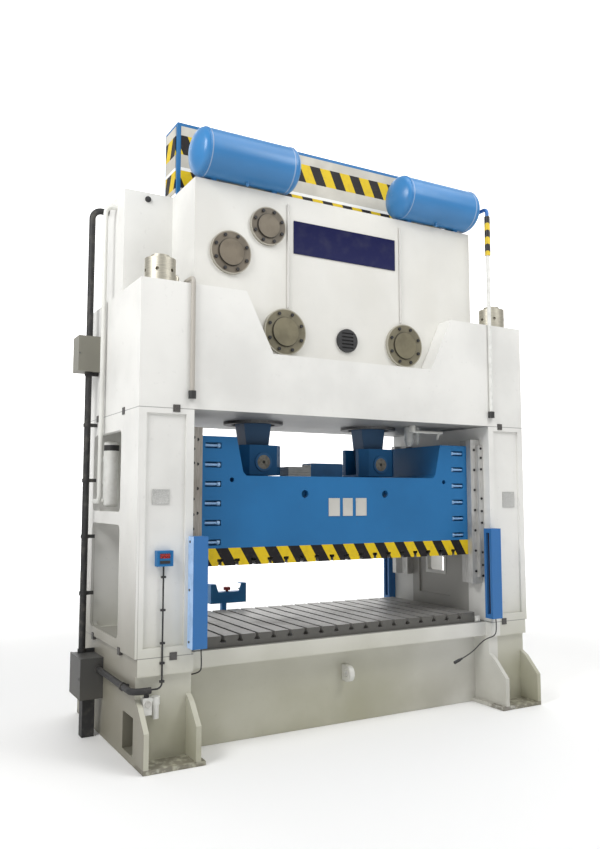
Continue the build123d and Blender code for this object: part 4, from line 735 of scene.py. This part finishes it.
# flat ring: a sheet with a window in it
def makeRing(name, spec):
    clearPick()
    bpy.ops.mesh.primitive_plane_add(size=1, location=spec["centre"], rotation=axisTurns["X"])
    piece = bpy.context.object
    piece.scale = (*spec["size"], 1)
    bpy.ops.object.transform_apply(location=False, rotation=True, scale=True)
    pickFaces(piece, lambda face: True)
    bpy.ops.mesh.inset(thickness=spec["rim"])
    bpy.ops.mesh.delete(type="FACE")
    leaveEdit()
    sheet = piece.modifiers.new("sheet", "SOLIDIFY")
    sheet.thickness = spec["thick"]
    sheet.offset = 0
    bpy.ops.object.modifier_apply(modifier=sheet.name)
    return settle(piece, name, spec)


# free leads: the same routes as the solids, in metres
leadSpecs = {
    "left_cable": {"points": [(-1.450, -0.812, 0.810), (-1.440, -0.806, 0.690), (-1.425, -0.745, 0.612),
                              (-1.487, -0.700, 0.600)],
                   "diameter": 0.010, "length": 0.2867, "end": "object", "with": []},
    "right_lead": {"points": [(1.500, -0.812, 0.810), (1.505, -0.815, 0.730), (1.490, -0.815, 0.650),
                              (1.400, -0.800, 0.632), (1.330, -0.795, 0.600), (1.255, -0.790, 0.540),
                              (1.180, -0.785, 0.500), (1.110, -0.780, 0.474)],
                   "diameter": 0.010, "length": 0.5776, "end": "connector", "with": ["lead_connector"]},
}
for name, spec in leadSpecs.items():
    curve = bpy.data.curves.new(name + "_line", "CURVE")
    curve.dimensions = "3D"
    curve.bevel_depth = spec["diameter"] / 2
    curve.bevel_resolution = 4
    curve.resolution_u = 12
    curve.use_fill_caps = True
    spline = curve.splines.new("NURBS")
    spline.points.add(len(spec["points"]) - 1)
    for point, place in zip(spline.points, spec["points"]):
        point.co = (*place, 1.0)
    spline.order_u = 3
    spline.use_endpoint_u = True
    lead = bpy.data.objects.new(name + "_line", curve)
    bpy.context.collection.objects.link(lead)
    lead.data.materials.append(finishes["cable"])
    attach(lead, "frame")
    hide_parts(name)
print("leads laid:", len(leadSpecs))

# plates on the front
namePlate = {"body": "frame", "finish": "tagPlate", "slot": "grey_paint", "rim": 0.008, "sunk": 0.002,
             "edge": 0.001}
slideTag = {"body": "slide", "finish": "paleTag", "slot": "grey_paint", "rim": 0.006, "sunk": 0.001,
            "edge": 0.001}
plateSpecs = {
    "sign_plate": {"body": "frame", "finish": "signBlue", "slot": "blue_paint",
                   "centre": (0.0, -0.598, 4.185), "size": (1.08, 0.008, 0.29),
                   "rim": 0.006, "sunk": 0.001, "edge": 0.001},
    "left_name_plate": {**namePlate, "centre": (-1.760, -0.746, 1.939), "size": (0.135, 0.008, 0.112)},
    "right_name_plate": {**namePlate, "centre": (1.759, -0.746, 1.910), "size": (0.150, 0.008, 0.150)},
    "slide_tag_1": {**slideTag, "centre": (-0.127, -0.583, 1.848), "size": (0.112, 0.006, 0.155)},
    "slide_tag_2": {**slideTag, "centre": (0.013, -0.583, 1.848), "size": (0.100, 0.006, 0.155)},
    "slide_tag_3": {**slideTag, "centre": (0.154, -0.583, 1.848), "size": (0.112, 0.006, 0.155)},
    "display_window": {"body": "frame", "finish": "glow", "slot": "red_plastic",
                       "centre": (-1.734, -0.7925, 1.500), "size": (0.078, 0.005, 0.034),
                       "rim": 0.004, "sunk": 0.001, "edge": 0.0005},
    "display_keys": {"body": "frame", "finish": "blackPlastic", "slot": "black_plastic",
                     "centre": (-1.734, -0.7925, 1.455), "size": (0.078, 0.005, 0.022),
                     "rim": 0.003, "sunk": -0.001, "edge": 0.0005},
}
for name, spec in plateSpecs.items():
    makePlate(name, spec)
print("plates set:", len(plateSpecs))

# clips that hold the display's cable
clipSpec = {"body": "frame", "finish": "blackPlastic", "slot": "black_plastic",
            "centre": (-1.737, -0.7685, 1.345), "size": (0.036, 0.020, 0.016),
            "rim": 0.004, "sunk": -0.002, "edge": 0.002, "lower": (1.104, 0.865, 0.721, 0.590)}
clip = makePlate("cable_clip_1", clipSpec)
for index, level in enumerate(clipSpec["lower"]):
    drop = Matrix.Translation((0, 0, level - clipSpec["centre"][2]))
    copyTo(clip, "cable_clip_%d" % (index + 2), clipSpec, drop)
print("clips set:", 1 + len(clipSpec["lower"]))

# bolts down the four gibs, in two rows
gibBolt = {"body": "frame", "finish": "blackSteel", "slot": "steel", "radius": 0.013, "deep": 0.008,
           "axis": "Y",
           "bar": (1.425, -0.643), "barLevels": (2.387, 2.194, 2.002, 1.810, 1.617, 1.425, 1.232),
           "rib": (1.475, -0.683), "ribLevels": (2.40, 2.31, 2.20, 1.92, 1.80, 1.69, 1.41, 1.29, 1.19)}
spots = [(*gibBolt["bar"], level) for level in gibBolt["barLevels"]]
spots += [(*gibBolt["rib"], level) for level in gibBolt["ribLevels"]]
print("gib bolts:", setBolts("gib_bolt", gibBolt, spots))

# light curtains: dark lens in each slot, bolts on the outer side
lensSpec = {"body": "frame", "finish": "lens", "slot": "black_plastic", "centre": (1.447, -0.812, 1.2255),
            "size": (0.006, 0.040, 0.745), "rim": 0.006, "sunk": 0.002, "edge": 0.001}
lens = makePlate("curtain_lens_1", lensSpec, side=0)
copyToCorners(lens, "curtain_lens", lensSpec)
curtainBolt = {"body": "frame", "finish": "darkSteel", "slot": "steel", "radius": 0.010, "deep": 0.008,
               "axis": "X", "row": (1.543, -0.800), "levels": (1.600, 1.242, 0.860)}
spots = [(*curtainBolt["row"], level) for level in curtainBolt["levels"]]
print("curtain trim set:", setBolts("curtain_bolt", curtainBolt, spots))

# window frames on the inner walls
windowSpec = {"body": "frame", "finish": "trimPaint", "slot": "white_paint", "centre": (1.517, 0.070, 1.255),
              "size": (0.210, 0.320), "rim": 0.030, "thick": 0.006, "edge": 0.001}
ring = makeRing("inner_window_frame_right", windowSpec)
toLeft = Matrix.Translation((-2 * windowSpec["centre"][0], 0, 0))
copyTo(ring, "inner_window_frame_left", windowSpec, toLeft)
print("window frames set: 2")

# round trim: plug, port, latches, gauge, knob, bottles
drumSpecs = {
    "wing_plug": {"body": "frame", "finish": "blackPlastic", "slot": "black_plastic",
                  "centre": (-1.682, -0.081, 4.480), "radius": 0.026, "deep": 0.012,
                  "axis": "Y", "look": -1, "steps": ((0.006, 0.004),), "edge": 0.001},
    "shoulder_port_left": {"body": "frame", "finish": "nutSteel", "slot": "steel",
                           "centre": (-1.586, -0.520, 3.650), "radius": 0.028, "deep": 0.100,
                           "axis": "Z", "look": 1, "steps": ((0.010, 0.012), (0.008, -0.008)), "edge": 0.002},
    "upper_door_latch": {"body": "upper_door", "finish": "darkSteel", "slot": "steel",
                         "centre": (-2.129, 0.3275, 3.1735), "radius": 0.0065, "deep": 0.005,
                         "axis": "Y", "look": -1, "steps": ((0.002, -0.0015),), "edge": 0.0004},
    "lower_door_latch": {"body": "lower_door", "finish": "darkSteel", "slot": "steel",
                         "centre": (-2.1145, 0.150, 0.4655), "radius": 0.014, "deep": 0.005,
                         "axis": "X", "look": -1, "steps": ((0.004, -0.002),), "edge": 0.0005},
    "air_gauge": {"body": "frame", "finish": "paleTag", "slot": "steel",
                  "centre": (-1.848, -0.791, 0.445), "radius": 0.024, "deep": 0.014,
                  "axis": "Y", "look": -1, "steps": ((0.004, -0.003),), "edge": 0.001},
    "air_knob": {"body": "frame", "finish": "blackPlastic", "slot": "black_plastic",
                 "centre": (-1.848, -0.755, 0.498), "radius": 0.020, "deep": 0.024, "sides": 12,
                 "axis": "Z", "look": 1, "steps": ((0.005, 0.010),), "edge": 0.002},
    "oil_bottle_1": {"body": "frame", "finish": "bowl", "slot": "white_paint",
                     "centre": (0.905, -0.300, 2.535), "radius": 0.045, "deep": 0.150,
                     "axis": "Z", "look": -1, "steps": ((0.008, 0.020), (0.010, 0.020)), "edge": 0.006},
    "oil_bottle_2": {"body": "frame", "finish": "bowl", "slot": "white_paint",
                     "centre": (1.010, -0.300, 2.545), "radius": 0.022, "deep": 0.130,
                     "axis": "Z", "look": -1, "steps": ((0.004, 0.020), (0.006, 0.015)), "edge": 0.004},
}
for name, spec in drumSpecs.items():
    makeDrum(name, spec)
print("round trim set:", len(drumSpecs))

# bent pipe under the crown: a round section run along, spun round a corner and run down
pipeSpec = {"body": "frame", "finish": "trimPaint", "slot": "white_paint", "start": (0.835, -0.450, 2.555),
            "radius": 0.014, "sides": 16, "run": 0.36, "bend": 0.06, "bendSteps": 10, "drop": 0.008}
clearPick()
bpy.ops.mesh.primitive_circle_add(vertices=pipeSpec["sides"], radius=pipeSpec["radius"], fill_type="NGON",
                                  location=pipeSpec["start"], rotation=axisTurns["X"])
pipe = bpy.context.object
bpy.ops.object.transform_apply(location=True, rotation=True, scale=False)
pickFaces(pipe, lambda face: True)
bpy.ops.mesh.extrude_region_move(TRANSFORM_OT_translate={"value": (pipeSpec["run"], 0, 0)})
startX, startY, startZ = pipeSpec["start"]
turnCentre = (startX + pipeSpec["run"], startY, startZ - pipeSpec["bend"])
bpy.ops.mesh.spin(steps=pipeSpec["bendSteps"], angle=math.radians(90), center=turnCentre, axis=(0, 1, 0))
bpy.ops.mesh.extrude_region_move(TRANSFORM_OT_translate={"value": (0, 0, -pipeSpec["drop"])})
bpy.ops.mesh.select_all(action="SELECT")
bpy.ops.mesh.normals_make_consistent(inside=False)
leaveEdit()
settle(pipe, "crown_drip_pipe", pipeSpec)
flangeSpec = {"body": "frame", "finish": "trimPaint", "slot": "white_paint",
              "centre": (0.835, -0.450, 2.5825), "radius": 0.03, "deep": 0.055,
              "axis": "Z", "look": -1, "steps": ((0.006, 0.006),), "edge": 0.002}
makeDrum("drip_pipe_flange", flangeSpec)
print("drip pipe set")

# blocks that hold the bolster's corners
clampSpec = {"body": "frame", "finish": "trimPaint", "slot": "white_paint", "centre": (1.415, -0.635, 0.789),
             "size": (0.056, 0.060, 0.054), "rim": 0.010, "sunk": -0.008, "edge": 0.004}
clamp = makePlate("bolster_clamp_1", clampSpec)
copyToCorners(clamp, "bolster_clamp", clampSpec)
print("bolster clamps set: 4")

# cooling ribs on the drive motor's sides; none near its top and its foot, except the first on top
ribSpec = {"body": "frame", "finish": "bluePaint", "slot": "blue_paint", "axle": (0.25, 0.375, 4.790),
           "radius": 0.165, "lift": 0.007, "count": 22, "size": (0.006, 0.300, 0.022),
           "taper": (0.6, 0.96, 1.0), "edge": 0.001, "topGap": math.radians(30), "footGap": math.radians(62)}
axleX, axleY, axleZ = ribSpec["axle"]
rib = addBox((axleX, axleY, axleZ + ribSpec["radius"] + ribSpec["lift"]), ribSpec["size"])
pickFaces(rib, lambda face: face.normal.z > facing)
bpy.ops.transform.resize(value=ribSpec["taper"])
leaveEdit()
settle(rib, "motor_ribs", ribSpec)
toAxle = Matrix.Translation(ribSpec["axle"])
count = 1
for index in range(1, ribSpec["count"]):
    angle = 2 * math.pi * index / ribSpec["count"]
    offTop = min(angle, 2 * math.pi - angle)
    if offTop < ribSpec["topGap"] or math.pi - offTop < ribSpec["footGap"]:
        continue
    count += 1
    about = toAxle @ Matrix.Rotation(angle, 4, "Y") @ toAxle.inverted()
    copyTo(rib, "motor_rib_%d" % index, ribSpec, about)
print("motor ribs set:", count)


# pale floor that glows towards its far parts
floorSpec = {"size": 60.0, "place": (0, 0, -0.002), "colour": rgb(0.93, 0.93, 0.925),
             "patch": rgb(0.88, 0.88, 0.87), "fade": (4.0, 9.0), "glow": 0.35}
clearPick()
bpy.ops.mesh.primitive_plane_add(size=floorSpec["size"], location=floorSpec["place"])
floor = bpy.context.object
floor.name = "floor"
floorFinish = Finish("floor", roughness=0.8)
patchy = floorFinish.noise(0.4, 2) * 0.04
floorFinish.feed("Base Color", patchy.mix(floorSpec["colour"], floorSpec["patch"]))
reach = (floorFinish.x * floorFinish.x + floorFinish.y * floorFinish.y).root()
floorFinish.feed("Emission Color", reach.smooth(*floorSpec["fade"]).mix(rgb(0, 0, 0), rgb(1, 1, 1)))
floorFinish.glow(floorSpec["glow"])
floor.data.materials.append(floorFinish.material)

# bright wall far behind the press, square to the camera
wallSpec = {"place": (6.4, 11.6, 6.0), "size": (44.0, 26.0, 1.0), "colour": rgb(1, 1, 1),
            "patch": rgb(0.97, 0.97, 0.97), "glow": 1.0}
clearPick()
bpy.ops.mesh.primitive_plane_add(size=1, location=wallSpec["place"],
                                 rotation=(math.radians(90), 0, math.radians(cameraSetup["turn"])))
wall = bpy.context.object
wall.name = "wall"
wall.scale = wallSpec["size"]
wallFinish = Finish("wall", roughness=0.9)
patchy = wallFinish.noise(0.5, 2) * 0.02
wallFinish.feed("Emission Color", patchy.mix(wallSpec["colour"], wallSpec["patch"]))
wallFinish.glow(wallSpec["glow"])
wall.data.materials.append(wallFinish.material)

# soft light from all sides, and four lamps
worldSpec = {"Color": rgb(1.0, 1.0, 1.0), "Strength": 0.42}
world = bpy.data.worlds.new("studio")
world.use_nodes = True
for key, value in worldSpec.items():
    world.node_tree.nodes["Background"].inputs[key].default_value = value
bpy.context.scene.world = world
lightSpecs = {
    "left": {"place": (-6.4, -2.6, 6.8), "aim": (-0.8, 0, 4.2), "size": 3.0, "power": 340},
    "right": {"place": (3.0, -5.6, 7.6), "aim": (0.4, 0, 4.0), "size": 3.0, "power": 165},
    "floor light": {"place": (2.0, -3.5, 9.0), "aim": (2.0, -3.0, 0), "size": 6.0, "power": 220},
    "back": {"place": (1.0, 7.0, 7.5), "aim": (0, 0, 3.0), "size": 6.0, "power": 80},
}
for name, spec in lightSpecs.items():
    bpy.ops.object.light_add(type="AREA", location=spec["place"])
    lamp = bpy.context.object
    lamp.name = name
    lamp.data.energy = spec["power"]
    lamp.data.size = spec["size"]
    lamp.rotation_euler = (Vector(spec["aim"]) - Vector(spec["place"])).to_track_quat("-Z", "Y").to_euler()
bpy.context.scene.view_settings.view_transform = "Standard"
print("stage lit")
